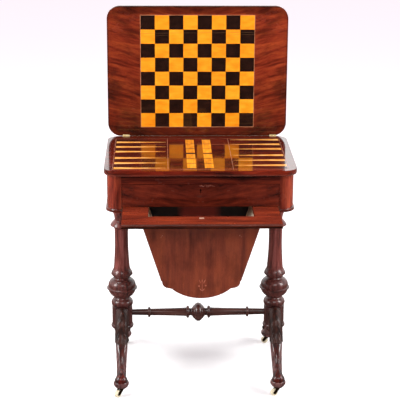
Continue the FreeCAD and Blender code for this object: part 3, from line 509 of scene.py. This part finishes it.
# ---- shapes ----
def catmull_rom(rows, t):
    """Point at t, from 0 to 1, of a smooth curve through rows of numbers."""
    spans = len(rows) - 1
    index = min(int(t * spans), spans - 1)
    f = t * spans - index
    before, start = rows[max(index - 1, 0)], rows[index]
    end, after = rows[index + 1], rows[min(index + 2, spans)]
    values = []
    for a, b, c, d in zip(before, start, end, after):
        curve = 2 * b + (c - a) * f
        curve += (2 * a - 5 * b + 4 * c - d) * f ** 2 + (3 * b - a - 3 * c + d) * f ** 3
        values.append(curve / 2)
    return values


def smoothstep(low, high, value):
    """Rises smoothly from 0 at low to 1 at high."""
    x = min(max((value - low) / (high - low), 0.0), 1.0)
    return x * x * (3 - 2 * x)


def hump(value, width):
    """Bell curve of height 1 about zero."""
    return math.exp(-(value / width) ** 2)


def add_loft(mesh, rings):
    """Skins closed rings of points, given in millimetres, and caps both ends."""
    rows = [[mesh.verts.new(Vector(point) * MM) for point in ring] for ring in rings]
    count = len(rows[0])
    for lower, upper in zip(rows, rows[1:]):
        for i in range(count):
            j = (i + 1) % count
            mesh.faces.new((lower[i], lower[j], upper[j], upper[i]))
    mesh.faces.new(list(reversed(rows[0])))
    mesh.faces.new(rows[-1])


def add_turning(mesh, centre, profile, segments=40):
    """Turns a (radius, height) profile about the vertical through centre."""
    rings = []
    for radius, height in profile:
        ring = []
        for i in range(segments):
            angle = 2 * math.pi * i / segments
            offset = Vector((math.cos(angle), math.sin(angle), 0)) * radius
            ring.append(Vector(centre) + offset + Vector((0, 0, height)))
        rings.append(ring)
    add_loft(mesh, rings)


def finish_piece(mesh, name, material, body, placing=None, replaced=(), sharp=40):
    """Makes an object of a bmesh, places it and gives it its finish and its body."""
    if placing:
        mesh.transform(placing)
    bmesh.ops.recalc_face_normals(mesh, faces=mesh.faces)
    for face in mesh.faces:
        face.smooth = True
    for edge in mesh.edges:
        edge.smooth = edge.calc_face_angle(0.0) < math.radians(sharp)
    data = bpy.data.meshes.new(name)
    mesh.to_mesh(data)
    mesh.free()
    data.materials.append(MATERIALS[material])
    piece = bpy.data.objects.new(name, data)
    scene.collection.objects.link(piece)
    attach(piece, body)
    if replaced:
        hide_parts(*replaced)
    return piece


# ---- carved legs ----
# crest out, crest up, underside out, underside up, half width: out from the middle of the
# column and up from the floor
LEG_STATIONS = (
    (26, 221, 26, 149, 19.4),
    (38, 226.6, 41, 147, 19.3),
    (54, 227.8, 58, 142.5, 19.0),
    (71, 221.6, 74, 136.5, 18.8),
    (88, 208.0, 85, 131.5, 18.7),
    (101, 188.0, 94, 125.5, 18.7),
    (110, 165.5, 102, 118.0, 18.6),
    (121, 146.0, 111, 108.5, 18.3),
    (135, 126.5, 122, 96.0, 17.2),
    (150, 108.6, 133, 83.5, 16.3),
    (164, 95.0, 144, 72.0, 15.6),
    (178, 84.0, 156, 60.5, 15.1),
    (191, 74.0, 169, 50.0, 14.6),
    (204, 62.5, 184, 41.0, 13.8),
    (213, 50.0, 197, 35.0, 11.5),
)
LEG_RINGS = 110
LEG_POINTS = 80
# exponents of the superellipse that the limb's section is, nearly square at its root
ROOT_SQUARENESS = 9.0
LIMB_SQUARENESS = 2.5
ROOT_SHARE = 0.12
# shares of the limb's length at which its carving starts and ends, and how far it is sunk
ACANTHUS = (0.07, 0.53)
SPEAR = (0.505, 0.845)
RELIEF_SUNK = 2.0
# rows along the carving and columns across it
ACANTHUS_GRID = (90, 33)
SPEAR_GRID = (40, 17)
# the hollow on each side of the spear: depth, and its middle and width as turns round the limb
FLUTE_DEPTH = 2.4
FLUTE_TURN = 0.62
FLUTE_WIDTH = 0.2
# shares of the limb's length over which it deepens and runs out again
FLUTE_START = 0.05
FLUTE_END = 0.1
ACANTHUS_LOBES = 5.5
ACANTHUS_VEINS = 9.0
ACANTHUS_THICKNESS = 2.8
SPEAR_THICKNESS = 0.9
SPEAR_BEAD = 2.4
TOE_RINGS = 30
# along the toe from its point to its heel: half width, half height
TOE_STATIONS = (
    (0.5, 1.5), (4.5, 4.0), (9.0, 7.0), (13.0, 9.5), (16.0, 11.0), (17.4, 12.0), (16.4, 11.5),
    (11.5, 9.0), (3.5, 4.5),
)
# middle line of the toe: out from the middle of the column and up from the floor
TOE_PATH = (
    (191.3, 84.6), (197, 79), (202.2, 72.7), (206, 66.6), (209.8, 61.7), (212.5, 57), (215, 51.5),
    (217, 46.5), (218, 42),
)
# share of the toe's length, ahead and behind, over which its direction is taken
TOE_STEP = 0.02
# the hollow along the top of the toe, as shares of its half height and half width
TOE_HOLLOW = 0.10
TOE_HOLLOW_WIDTH = 0.18
# the groove round the toe shows as a rim this much wider and lower than the toe, painted near-black as
# painted shade
GROOVE_WIDTH = 2.4
GROOVE_DROP = 3.4
# but never lower than by this share of the toe's half height
GROOVE_LOWEST = 0.6
# the round pad under the foot, from the castor's plate up: radius, height
PAD_PROFILE = (
    (16.0, 32.0), (19.6, 32.3), (20.6, 34.0), (20.2, 35.5), (22.8, 37.2), (24.0, 40.5),
    (23.8, 45.0), (21.5, 49.5), (17.0, 53.0), (10.0, 55.5), (2.0, 56.5),
)
PAD_OUT = 203.0


def limb_point(t, turn):
    """Point on the bare limb and its outward way, at a share t of its length.

    turn is 0 on the crest, 1 or -1 at the sides and 2 underneath.
    """
    crest_out, crest_up, under_out, under_up, half_width = catmull_rom(LEG_STATIONS, t)
    crest = Vector((0, crest_out, crest_up))
    under = Vector((0, under_out, under_up))
    middle = (crest + under) / 2
    rounded = smoothstep(0.0, ROOT_SHARE, t)
    squareness = ROOT_SQUARENESS + (LIMB_SQUARENESS - ROOT_SQUARENESS) * rounded
    angle = turn * math.pi / 2
    across = math.copysign(abs(math.sin(angle)) ** (2 / squareness), math.sin(angle))
    toward = math.copysign(abs(math.cos(angle)) ** (2 / squareness), math.cos(angle))
    outward = Vector((half_width * across, 0, 0)) + (crest - middle) * toward
    return middle + outward, outward.normalized()


def limb_ring(t):
    """Ring of the limb, with a hollow flute on each side of the spear."""
    start, end = SPEAR
    fluted = smoothstep(start, start + FLUTE_START, t) * (1 - smoothstep(end - FLUTE_END, end, t))
    ring = []
    for i in range(LEG_POINTS):
        turn = 4 * i / LEG_POINTS
        turn = turn if turn <= 2 else turn - 4
        point, outward = limb_point(t, turn)
        ring.append(point - outward * FLUTE_DEPTH * fluted * hump(abs(turn) - FLUTE_TURN, FLUTE_WIDTH))
    return ring


def acanthus_reach(u):
    """Half width of the leaf, as a turn round the limb: lobed sides and a rounded end."""
    lobes = abs(math.sin(math.pi * ACANTHUS_LOBES * u))
    end = math.sqrt(max(1 - (max(u - 0.78, 0.0) / 0.22) ** 2, 0.0))
    return (0.86 + 0.08 * lobes) * smoothstep(-0.06, 0.1, u) ** 0.5 * max(end, 0.05)


def acanthus_height(u, side):
    """Thickness of the leaf: raised rib and rims, and veins that run down from the rib."""
    away = abs(side)
    vein = abs(math.sin(math.pi * (ACANTHUS_VEINS * u - 2.2 * away)))
    height = ACANTHUS_THICKNESS + 0.8 * hump(away, 0.12) + 0.3 * hump(away - 0.9, 0.14)
    height -= 1.7 * (1 - vein) ** 2 * hump(away - 0.5, 0.4)
    return height * smoothstep(-0.02, 0.06, u) * (1 - 0.35 * smoothstep(0.9, 1.0, u))


def spear_reach(u):
    """Half width of the spear, which narrows to a point."""
    return max(0.44 * (1 - u) ** 0.75, 0.012)


def spear_height(u, side):
    """A flat blade with two beads side by side in its middle."""
    return SPEAR_THICKNESS + SPEAR_BEAD * abs(math.sin(math.pi * side)) * hump(u - 0.5, 0.2)


def add_relief(mesh, span, reach, height, grid):
    """Carving laid over the limb between two shares of its length and sunk into it."""
    rows, columns = grid
    rings = []
    for row in range(rows):
        u = row / (rows - 1)
        t = span[0] + (span[1] - span[0]) * u
        top, bottom = [], []
        for column in range(columns):
            side = 2 * column / (columns - 1) - 1
            point, outward = limb_point(t, side * reach(u))
            top.append(point + outward * height(u, side))
            bottom.append(point - outward * RELIEF_SUNK)
        rings.append(top + list(reversed(bottom)))
    add_loft(mesh, rings)


def toe_ring(t, grow=0.0, drop=0.0):
    """Ring of the toe, or of the groove's rim: wider by grow and lower by drop."""
    half_width, half_height = catmull_rom(TOE_STATIONS, t)
    half_width += grow
    half_height -= min(drop, half_height * GROOVE_LOWEST)
    middle = Vector((0, *catmull_rom(TOE_PATH, t)))
    ahead = Vector((0, *catmull_rom(TOE_PATH, min(t + TOE_STEP, 1.0))))
    behind = Vector((0, *catmull_rom(TOE_PATH, max(t - TOE_STEP, 0.0))))
    up = Vector((1, 0, 0)).cross((ahead - behind).normalized())
    ring = []
    for i in range(LEG_POINTS // 2):
        angle = 4 * math.pi * i / LEG_POINTS
        across = half_width * math.sin(angle)
        hollow = 1 - TOE_HOLLOW * hump(across / half_width, TOE_HOLLOW_WIDTH) * (math.cos(angle) > 0)
        ring.append(middle + Vector((across, 0, 0)) + up * half_height * math.cos(angle) * hollow)
    return ring


def carved_leg(corner, side, end):
    """The limb with its pad instead of the frame's plain leg, and the carving laid over it."""
    low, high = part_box("column_right")
    place = Matrix.Translation((side * (low.x + high.x) / 2, 0, 0))
    if end < 0:
        place = place @ Matrix.Rotation(math.pi, 4, "Z")
    node = "leg_" + corner
    limb, leaf, spear, toe, rim = (bmesh.new() for _ in range(5))
    add_loft(limb, [limb_ring(i / (LEG_RINGS - 1)) for i in range(LEG_RINGS)])
    add_turning(limb, (0, PAD_OUT, 0), PAD_PROFILE)
    add_relief(leaf, ACANTHUS, acanthus_reach, acanthus_height, ACANTHUS_GRID)
    add_relief(spear, SPEAR, spear_reach, spear_height, SPEAR_GRID)
    shares = [i / (TOE_RINGS - 1) for i in range(TOE_RINGS)]
    add_loft(toe, [toe_ring(t) for t in shares])
    add_loft(rim, [toe_ring(t, GROOVE_WIDTH, GROOVE_DROP) for t in shares])
    for mesh, name, material, replaced, sharp in (
        (limb, "carved_" + node, "carved", (node,), 60), (leaf, "acanthus_" + corner, "foliage", (), 50),
        (spear, "spear_" + corner, "spear", (), 50), (toe, "toe_" + corner, "polished_toe", (), 40),
        (rim, "toe_groove_shade_" + corner, "groove", (), 40),
    ):
        finish_piece(mesh, name, material, "carcase", place, replaced, sharp)


for corner in ("front_left", "front_right", "back_left", "back_right"):
    side = -1 if corner.endswith("left") else 1
    end = -1 if corner.startswith("front") else 1
    carved_leg(corner, side, end)


# ---- pegging strips ----
# two strips side by side, each in two lengths and with two rows of peg holes
STRIP_MIDDLE = 26.5
STRIP_HALF_WIDTH = 13.5
STRIP_SPANS = ((-185.0, -11.5), (-7.5, 166.0))
STRIP_TOP = 732.0
STRIP_THICKNESS = 1.2
PEG_GROUPS = 6
PEGS_IN_GROUP = 5
PEG_PITCH = 5.2
STRIP_END_BAR = 5.4
STRIP_INNER_BAR = 4.6
SCRIBED_LINE = 0.6
PEG_RADIUS = 0.9
PEG_DEPTH = 1.0
# each side of a cell has its corner and points at these shares
CELL_SHARES = (0, 1 / 3, 2 / 3)
# points of neighbouring cells nearer than this become one
CELL_WELD = 0.02
# material slots of the strips after the first one, which is their veneer
BAR_SLOT = 1
BORE_SLOT = 2


def peg_cells(start, end):
    """Steps along a strip as (low y, high y, kind): pegs in fives and tens between dark bars."""
    marks = [SCRIBED_LINE] * (PEG_GROUPS + 1)
    marks[0] = marks[-1] = STRIP_END_BAR
    marks[2] = marks[4] = STRIP_INNER_BAR
    pegs = PEG_GROUPS * PEGS_IN_GROUP * PEG_PITCH
    margin = (end - start - pegs - sum(marks)) / (2 * PEG_GROUPS)
    steps = []
    for mark in marks[:-1]:
        steps += [(mark, "dark"), (margin, "plain")] + [(PEG_PITCH, "bored")] * PEGS_IN_GROUP
        steps.append((margin, "plain"))
    steps.append((marks[-1], "dark"))
    cells = []
    for length, kind in steps:
        cells.append((start, start + length, kind))
        start += length
    return cells


def add_peg_cell(mesh, x0, x1, cell):
    """One flat cell of the strip, bored for a peg if it is that kind."""
    y0, y1, kind = cell
    ring = []
    corners = ((x0, y0), (x1, y0), (x1, y1), (x0, y1))
    for (ax, ay), (bx, by) in zip(corners, corners[1:] + corners[:1]):
        for share in CELL_SHARES:
            point = (ax + (bx - ax) * share, ay + (by - ay) * share, STRIP_TOP)
            ring.append(mesh.verts.new(Vector(point) * MM))
    if kind != "bored":
        mesh.faces.new(ring).material_index = BAR_SLOT if kind == "dark" else 0
        return
    middle = Vector(((x0 + x1) / 2, (y0 + y1) / 2, STRIP_TOP))
    rims = []
    for depth in (0, PEG_DEPTH):
        rim = []
        for i in range(len(ring)):
            # each point of the rim faces its point of the cell's edge
            angle = 2 * math.pi * (i - len(CELL_SHARES) / 2) / len(ring) - math.pi / 2
            turn = Vector((math.cos(angle), math.sin(angle), 0)) * PEG_RADIUS
            rim.append(mesh.verts.new((middle + turn - Vector((0, 0, depth))) * MM))
        rims.append(rim)
    for i in range(len(ring)):
        j = (i + 1) % len(ring)
        mesh.faces.new((ring[i], ring[j], rims[0][j], rims[0][i]))
        mesh.faces.new((rims[0][i], rims[0][j], rims[1][j], rims[1][i])).material_index = BORE_SLOT
    mesh.faces.new(rims[1]).material_index = BORE_SLOT


def pegged_strips():
    """The strips with their bars and holes, instead of the frame's plain ones."""
    mesh = bmesh.new()
    for side in (-1, 1):
        for start, end in STRIP_SPANS:
            for cell in peg_cells(start, end):
                x = side * STRIP_MIDDLE
                add_peg_cell(mesh, x - STRIP_HALF_WIDTH, x, cell)
                add_peg_cell(mesh, x, x + STRIP_HALF_WIDTH, cell)
    bmesh.ops.remove_doubles(mesh, verts=mesh.verts, dist=CELL_WELD * MM)
    rim = [edge for edge in mesh.edges if edge.is_boundary]
    skirt = bmesh.ops.extrude_edge_only(mesh, edges=rim)["geom"]
    low = [item for item in skirt if isinstance(item, bmesh.types.BMVert)]
    bmesh.ops.translate(mesh, verts=low, vec=Vector((0, 0, -STRIP_THICKNESS * MM)))
    bmesh.ops.holes_fill(mesh, edges=[edge for edge in mesh.edges if edge.is_boundary])
    strips = finish_piece(
        mesh, "pegged_strips", "strips", "lower_leaf", replaced=("pegging_strips",))
    strips.data.materials.append(MATERIALS["bars"])
    strips.data.materials.append(MATERIALS["bore"])


pegged_strips()


# ---- joint of the leaves ----
# thin baize along the back edge of the lower leaf, clear of the folding leaf at every angle
BAIZE_SPAN = (-219.0, 235.0)
BAIZE_FRONT = 208.5
BAIZE_BACK = 212.96
BAIZE_THICKNESS = 0.46


def joint_baize():
    """A strip of baize along the joint."""
    mesh = bmesh.new()
    top = STRIP_TOP + BAIZE_THICKNESS
    section = (
        (BAIZE_FRONT, STRIP_TOP), (BAIZE_BACK, STRIP_TOP), (BAIZE_BACK, top), (BAIZE_FRONT, top))
    add_loft(mesh, [[(x, y, z) for y, z in section] for x in BAIZE_SPAN])
    finish_piece(mesh, "joint_baize", "baize", "lower_leaf")


joint_baize()


# ---- workbox lining and ornament ----
# inside outline of the box from its mouth to its lowest point: half width, height
LINING_HALF = (
    (166.0, 600.0), (106.3, 415.9), (88.6, 412.6), (83.4, 407.6), (81.0, 405.0), (70.0, 402.4),
    (60.0, 394.5), (48.0, 382.6), (30.0, 375.0), (12.0, 372.2), (0.0, 371.6),
)
LINING_FRONT = -287.3
LINING_BACK = -49.7
LINING_THICKNESS = 0.4
# front of the box, and how far the sprig stands out of it and reaches into it
WORKBOX_FACE = -297.5
SPRIG_PROUD = 0.15
SPRIG_DEPTH = 0.5
SPRIG_POINTS = 16
# leaves of the sprig: x, z, half length, half width, degrees from upright
SPRIG = (
    (2.8, 396.0, 15.0, 0.9, 0), (2.8, 416.0, 5.0, 1.5, 0), (-6.7, 399.8, 2.6, 2.4, 0),
    (13.4, 400.8, 2.6, 2.4, 0), (-4.0, 414.0, 7.0, 1.4, 28), (9.6, 414.0, 7.0, 1.4, -28),
    (-1.5, 388.0, 5.0, 1.2, 40), (7.1, 388.0, 5.0, 1.2, -40),
)


def both_sides(half):
    """A half outline and its mirror image, running from one rim to the other."""
    return list(half) + [(-x, z) for x, z in reversed(half[:-1])]


def add_prism(mesh, outline, y0, y1):
    """An outline of (x, z) points, drawn out from one depth to another."""
    add_loft(mesh, [[(x, y, z) for x, z in outline] for y in (y0, y1)])


def workbox_lining():
    """Paper round the sides and the bottom, and silk on both ends."""
    wide = both_sides(LINING_HALF)
    inner = [(x - math.copysign(LINING_THICKNESS, x), z + LINING_THICKNESS) for x, z in LINING_HALF[:-1]]
    inner = both_sides(inner + [(0.0, LINING_HALF[-1][1] + LINING_THICKNESS)])
    mesh = bmesh.new()
    add_prism(mesh, wide + list(reversed(inner)), LINING_FRONT, LINING_BACK)
    finish_piece(mesh, "workbox_lining_paper", "paper", "workbox_slide")
    mesh = bmesh.new()
    add_prism(mesh, inner, LINING_FRONT, LINING_FRONT + LINING_THICKNESS)
    add_prism(mesh, inner, LINING_BACK - LINING_THICKNESS, LINING_BACK)
    finish_piece(mesh, "workbox_lining_silk", "silk", "workbox_slide")


def workbox_sprig():
    """Narrow leaves of light wood, low on the front of the box."""
    mesh = bmesh.new()
    for x, z, length, width, tilt in SPRIG:
        outline = []
        for i in range(SPRIG_POINTS):
            angle = 2 * math.pi * i / SPRIG_POINTS
            leaf = Vector((width * math.sin(angle), length * math.cos(angle)))
            leaf.rotate(Matrix.Rotation(math.radians(tilt), 2))
            outline.append((x + leaf.x, z + leaf.y))
        add_prism(mesh, outline, WORKBOX_FACE - SPRIG_PROUD, WORKBOX_FACE + SPRIG_DEPTH)
    finish_piece(mesh, "workbox_sprig", "ornament", "workbox_slide")


workbox_lining()
workbox_sprig()


# ---- small screws ----
# a head as two halves of HEAD_STEPS each beside its slot, with a seat below them
HEAD_PROUD = 0.14
HEAD_STEPS = 14
SLOT_WIDTH = 0.7
SLOT_FLOOR = -0.4
SEAT = (-0.5, -0.3)
HINGE_PLACES = (-232.0, 248.0)
HINGE_SCREW_X = 7.0
HINGE_SCREW_Z = (720.0, 725.0)
HINGE_SCREW_Y = (217.0, 222.0)
HINGE_SCREW_RADIUS = 2.2
LEAF_BACK_EDGE = 212.5
UPPER_LEAF_FOOT = 732.5
SWIVEL_MIDDLE = (106.25, 106.25)
SWIVEL_SCREW_RING = 22.0
SWIVEL_SCREW_RADIUS = 3.2
LEAF_UNDERSIDE = 714.0
CASTOR_PLATE_RADIUS = 15.0
CASTOR_SCREW_RING = 11.6
CASTOR_SCREW_RADIUS = 1.9


def add_screw(mesh, centre, facing, radius, turn):
    """Countersunk head that faces a way, its slot turned by so many degrees."""
    toward = Vector(facing).to_track_quat("Z", "Y").to_matrix().to_4x4()
    placing = Matrix.Translation(Vector(centre) * MM) @ toward @ Matrix.Rotation(math.radians(turn), 4, "Z")
    head = bmesh.new()
    for half in (-1, 1):
        start = math.asin(SLOT_WIDTH / 2 / radius)
        outline = []
        for i in range(HEAD_STEPS + 1):
            angle = half * (start + (math.pi - 2 * start) * i / HEAD_STEPS)
            outline.append((radius * math.cos(angle), radius * math.sin(angle)))
        add_loft(head, [[(x, y, z) for x, y in outline] for z in (SLOT_FLOOR, HEAD_PROUD)])
    add_turning(head, (0, 0, 0), [(radius, z) for z in SEAT], 2 * HEAD_STEPS)
    head.transform(placing)
    loose = bpy.data.meshes.new("screw")
    head.to_mesh(loose)
    head.free()
    mesh.from_mesh(loose)
    bpy.data.meshes.remove(loose)


def add_screw_circle(mesh, middle, circle, count, start, radius, turn):
    """Screws that face down, on a circle round the middle, each slot turned further."""
    x, y, z = middle
    for i in range(count):
        angle = math.radians(start + 360 / count * i)
        place = (x + circle * math.cos(angle), y + circle * math.sin(angle), z)
        add_screw(mesh, place, (0, 0, -1), radius, turn * i)


def hinge_screws():
    """Two screws in each hinge plate, in the back of the lower leaf and the foot of the upper."""
    lower, upper = bmesh.new(), bmesh.new()
    for middle in HINGE_PLACES:
        for side, z, y in zip((-1, 1), HINGE_SCREW_Z, HINGE_SCREW_Y):
            x = middle + side * HINGE_SCREW_X
            add_screw(lower, (x, LEAF_BACK_EDGE, z), (0, 1, 0), HINGE_SCREW_RADIUS, 20 * side)
            add_screw(upper, (x, y, UPPER_LEAF_FOOT), (0, 0, -1), HINGE_SCREW_RADIUS, 35 * side)
    finish_piece(lower, "hinge_screws_lower", "brass", "lower_leaf")
    finish_piece(upper, "hinge_screws_upper", "brass", "upper_leaf")


def swivel_screws():
    """Four screws that hold the swivel plate under the lower leaf."""
    mesh = bmesh.new()
    middle = (*SWIVEL_MIDDLE, LEAF_UNDERSIDE)
    add_screw_circle(
        mesh, middle, SWIVEL_SCREW_RING, count=4, start=45, radius=SWIVEL_SCREW_RADIUS, turn=25)
    finish_piece(mesh, "swivel_screws", "iron", "lower_leaf")


def castor_screws():
    """Three screws in each of the four castor plates."""
    low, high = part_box("castor_plates")
    mesh = bmesh.new()
    for x in (low.x / MM + CASTOR_PLATE_RADIUS, high.x / MM - CASTOR_PLATE_RADIUS):
        for y in (low.y / MM + CASTOR_PLATE_RADIUS, high.y / MM - CASTOR_PLATE_RADIUS):
            middle = (x, y, low.z / MM)
            add_screw_circle(
                mesh, middle, CASTOR_SCREW_RING, count=3, start=90, radius=CASTOR_SCREW_RADIUS, turn=40)
    finish_piece(mesh, "castor_screws", "iron", "carcase")


hinge_screws()
swivel_screws()
castor_screws()


# ---- scratches ----
# strokes in the polish as x and z of both ends, over the keyhole and on the workbox
DRAWER_FACE = -193.5
DRAWER_STROKES = (
    (-4, 680.5, 8, 679), (1, 683.5, 5, 681), (7, 677.5, 13, 682.5), (16, 683.4, 19, 676),
    (18, 680, 33, 682.5), (27, 683.8, 31, 679), (33, 680.6, 41, 678.8), (22, 677.5, 26, 678.6),
)
WORKBOX_STROKES = (
    (-119, 555, -114.5, 559.5), (-117.5, 560.5, -113, 557), (112, 556, 116, 560), (111, 560, 114, 555.5),
    (-121, 552, -118, 554), (117, 553, 119.5, 556),
)
# fine cracks across the second row of squares
UPPER_LEAF_FACE = 213.0
BOARD_HAIRLINES = (
    (-182, 1069, -60, 1071), (-60, 1071, 182, 1072.5), (-140, 1062, -93, 1063), (96, 1064, 181, 1066.5),
)
STROKE_WIDTH = 0.6
STROKE_PROUD = 0.04
STROKE_DEPTH = 0.3


def add_stroke(mesh, face, x0, z0, x1, z1):
    """A straight stroke that just breaks the surface."""
    along = Vector((x1 - x0, z1 - z0)).normalized() * STROKE_WIDTH / 2
    ends = ((x0, z0, 1), (x1, z1, 1), (x1, z1, -1), (x0, z0, -1))
    outline = [(x - side * along.y, z + side * along.x) for x, z, side in ends]
    add_prism(mesh, outline, face - STROKE_PROUD, face + STROKE_DEPTH)


def scratches(name, material, face, strokes, body):
    """A piece of the strokes on one face."""
    mesh = bmesh.new()
    for stroke in strokes:
        add_stroke(mesh, face, *stroke)
    finish_piece(mesh, name, material, body)


scratches("drawer_scratches", "scratch", DRAWER_FACE, DRAWER_STROKES, "drawer")
scratches("workbox_scratches", "scratch", WORKBOX_FACE, WORKBOX_STROKES, "workbox_slide")
scratches("board_hairlines", "hairline", UPPER_LEAF_FACE, BOARD_HAIRLINES, "upper_leaf")


# ---- camera ----
# place in metres, yaw to the right, pitch down and roll in degrees, lens and film in millimetres
CAMERA_PLACE = (-0.1202, -4.0889, 1.8252)
CAMERA_YAW = 1.739
CAMERA_PITCH = 16.965
CAMERA_ROLL = 0.302
CAMERA_LENS = 122.006
CAMERA_FILM = 36


def set_camera():
    """Looks down at the table from four metres in front of it, through a long lens."""
    yaw, pitch, roll = (math.radians(a) for a in (CAMERA_YAW, CAMERA_PITCH, CAMERA_ROLL))
    ahead = Vector((math.sin(yaw) * math.cos(pitch), math.cos(yaw) * math.cos(pitch), -math.sin(pitch)))
    level = Vector((math.cos(yaw), -math.sin(yaw), 0))
    above = level.cross(ahead)
    right = math.cos(roll) * level + math.sin(roll) * above
    up = math.cos(roll) * above - math.sin(roll) * level
    data = bpy.data.cameras.new("camera")
    data.lens = CAMERA_LENS
    data.sensor_width = CAMERA_FILM
    data.clip_end = 100
    camera = bpy.data.objects.new("camera", data)
    scene.collection.objects.link(camera)
    turn = Matrix((right, up, -ahead)).transposed().to_4x4()
    camera.matrix_world = Matrix.Translation(CAMERA_PLACE) @ turn
    scene.camera = camera


# ---- floor, world and lamps ----
FLOOR_HALF = 30.0
FLOOR_PAPER = "#f3f5f4"
# the glow that burns the floor out to white, weaker near the table, where its shadow shows
FLOOR_GLOW = "#fbe2ef"
GLOW_SPAN = (0.4, 2.4)
GLOW_LEVELS = (0.21, 0.66)
# what gloss sees of floor and sky: dark in front of the table, bright beside and behind it
MIRRORED_FLOOR = "#ffdfd2"
MIRRORED_SPAN = (-0.6, 1.6)
MIRRORED_LEVELS = (0.03, 0.32)
SKY_SPAN = (-0.5, 0.8)
SKY_LEVELS = (0.02, 1.5)
AMBIENT = 0.42
WHITE = (1.0, 1.0, 1.0, 1.0)
LAMP_AIM = Vector((0.0, 0.0, 0.6))
# name, place, width, height, watts
LAMPS = (
    ("left_softbox", (-2.6, -1.1, 1.9), 0.9, 1.6, 90),
    ("right_softbox", (2.6, -1.1, 1.9), 0.9, 1.6, 80),
    ("front_softbox", (0.3, -3.4, 2.9), 2.0, 1.2, 48),
    ("top_softbox", (-0.95, 0.2, 3.3), 1.0, 1.0, 42),
)


def to_the_sides(tree, place, span, levels):
    """Value that goes from in front of the table to both its sides and behind it."""
    axes = add(tree, "SeparateXYZ", {0: place}).outputs
    side = add(tree, "Math", {0: axes["X"]}, operation="ABSOLUTE")
    reach = add(tree, "Math", {0: side, 1: axes["Y"]}, operation="ADD")
    return add(tree, "MapRange", {"Value": reach, **ranged(span, levels)})


def floor_material():
    """White studio paper with a faint shadow; gloss sees it dark in front of the table."""
    material, tree, shader = start_material("studio_floor")
    tree.nodes.remove(shader)
    rays = add(tree, "LightPath").outputs
    place = add(tree, "TexCoord").outputs["Object"]
    away = add(tree, "VectorMath", {0: place}, operation="LENGTH").outputs["Value"]
    fade = add(tree, "MapRange", {"Value": away, **ranged(GLOW_SPAN, GLOW_LEVELS)})
    lift = add(tree, "Math", {0: rays["Is Camera Ray"], 1: fade}, operation="MULTIPLY")
    glow = add(tree, "Emission", {"Color": linear(FLOOR_GLOW), "Strength": lift})
    paper = add(tree, "BsdfDiffuse", {"Color": linear(FLOOR_PAPER)})
    lit = add(tree, "AddShader", {0: glow, 1: paper})
    strength = to_the_sides(tree, place, MIRRORED_SPAN, MIRRORED_LEVELS)
    mirrored = add(tree, "Emission", {"Color": linear(MIRRORED_FLOOR), "Strength": strength})
    both = add(tree, "MixShader", {0: rays["Is Glossy Ray"], 1: lit, 2: mirrored})
    fill(tree, tree.nodes["Material Output"], {"Surface": both})
    return material


def make_floor():
    """A square sheet of the studio paper under the table, out to the horizon."""
    mesh = bpy.data.meshes.new("studio_floor")
    h = FLOOR_HALF
    mesh.from_pydata([(-h, -h, 0), (h, -h, 0), (h, h, 0), (-h, h, 0)], [], [(0, 1, 2, 3)])
    mesh.materials.append(floor_material())
    floor = bpy.data.objects.new("studio_floor", mesh)
    scene.collection.objects.link(floor)


def make_world():
    """White all round to the eye; for gloss it is darker on the side away from the backdrop."""
    world = bpy.data.worlds.new("studio")
    scene.world = world
    world.use_nodes = True
    tree = world.node_tree
    tree.nodes.clear()
    heading = add(tree, "TexCoord").outputs["Generated"]
    gloss = to_the_sides(tree, heading, SKY_SPAN, SKY_LEVELS)
    rays = add(tree, "LightPath").outputs
    lit = add(tree, "Mix", {0: rays["Is Glossy Ray"], 2: AMBIENT, 3: gloss}, data_type="FLOAT")
    clear = add(
        tree, "Math", {0: rays["Is Camera Ray"], 1: rays["Is Transmission Ray"]}, operation="MAXIMUM")
    strength = add(tree, "Mix", {0: clear, 2: lit, 3: 1.0}, data_type="FLOAT")
    sky = add(tree, "Background", {"Color": WHITE, "Strength": strength})
    add(tree, "OutputWorld", {"Surface": sky})


def soft_lamp(name, place, width, height, watts):
    """A soft box that faces the table."""
    data = bpy.data.lights.new(name, "AREA")
    data.shape = "RECTANGLE"
    data.size = width
    data.size_y = height
    data.energy = watts
    lamp = bpy.data.objects.new(name, data)
    lamp.location = place
    lamp.rotation_euler = (LAMP_AIM - lamp.location).to_track_quat("-Z", "Y").to_euler()
    scene.collection.objects.link(lamp)


set_camera()
make_floor()
make_world()
for lamp in LAMPS:
    soft_lamp(*lamp)
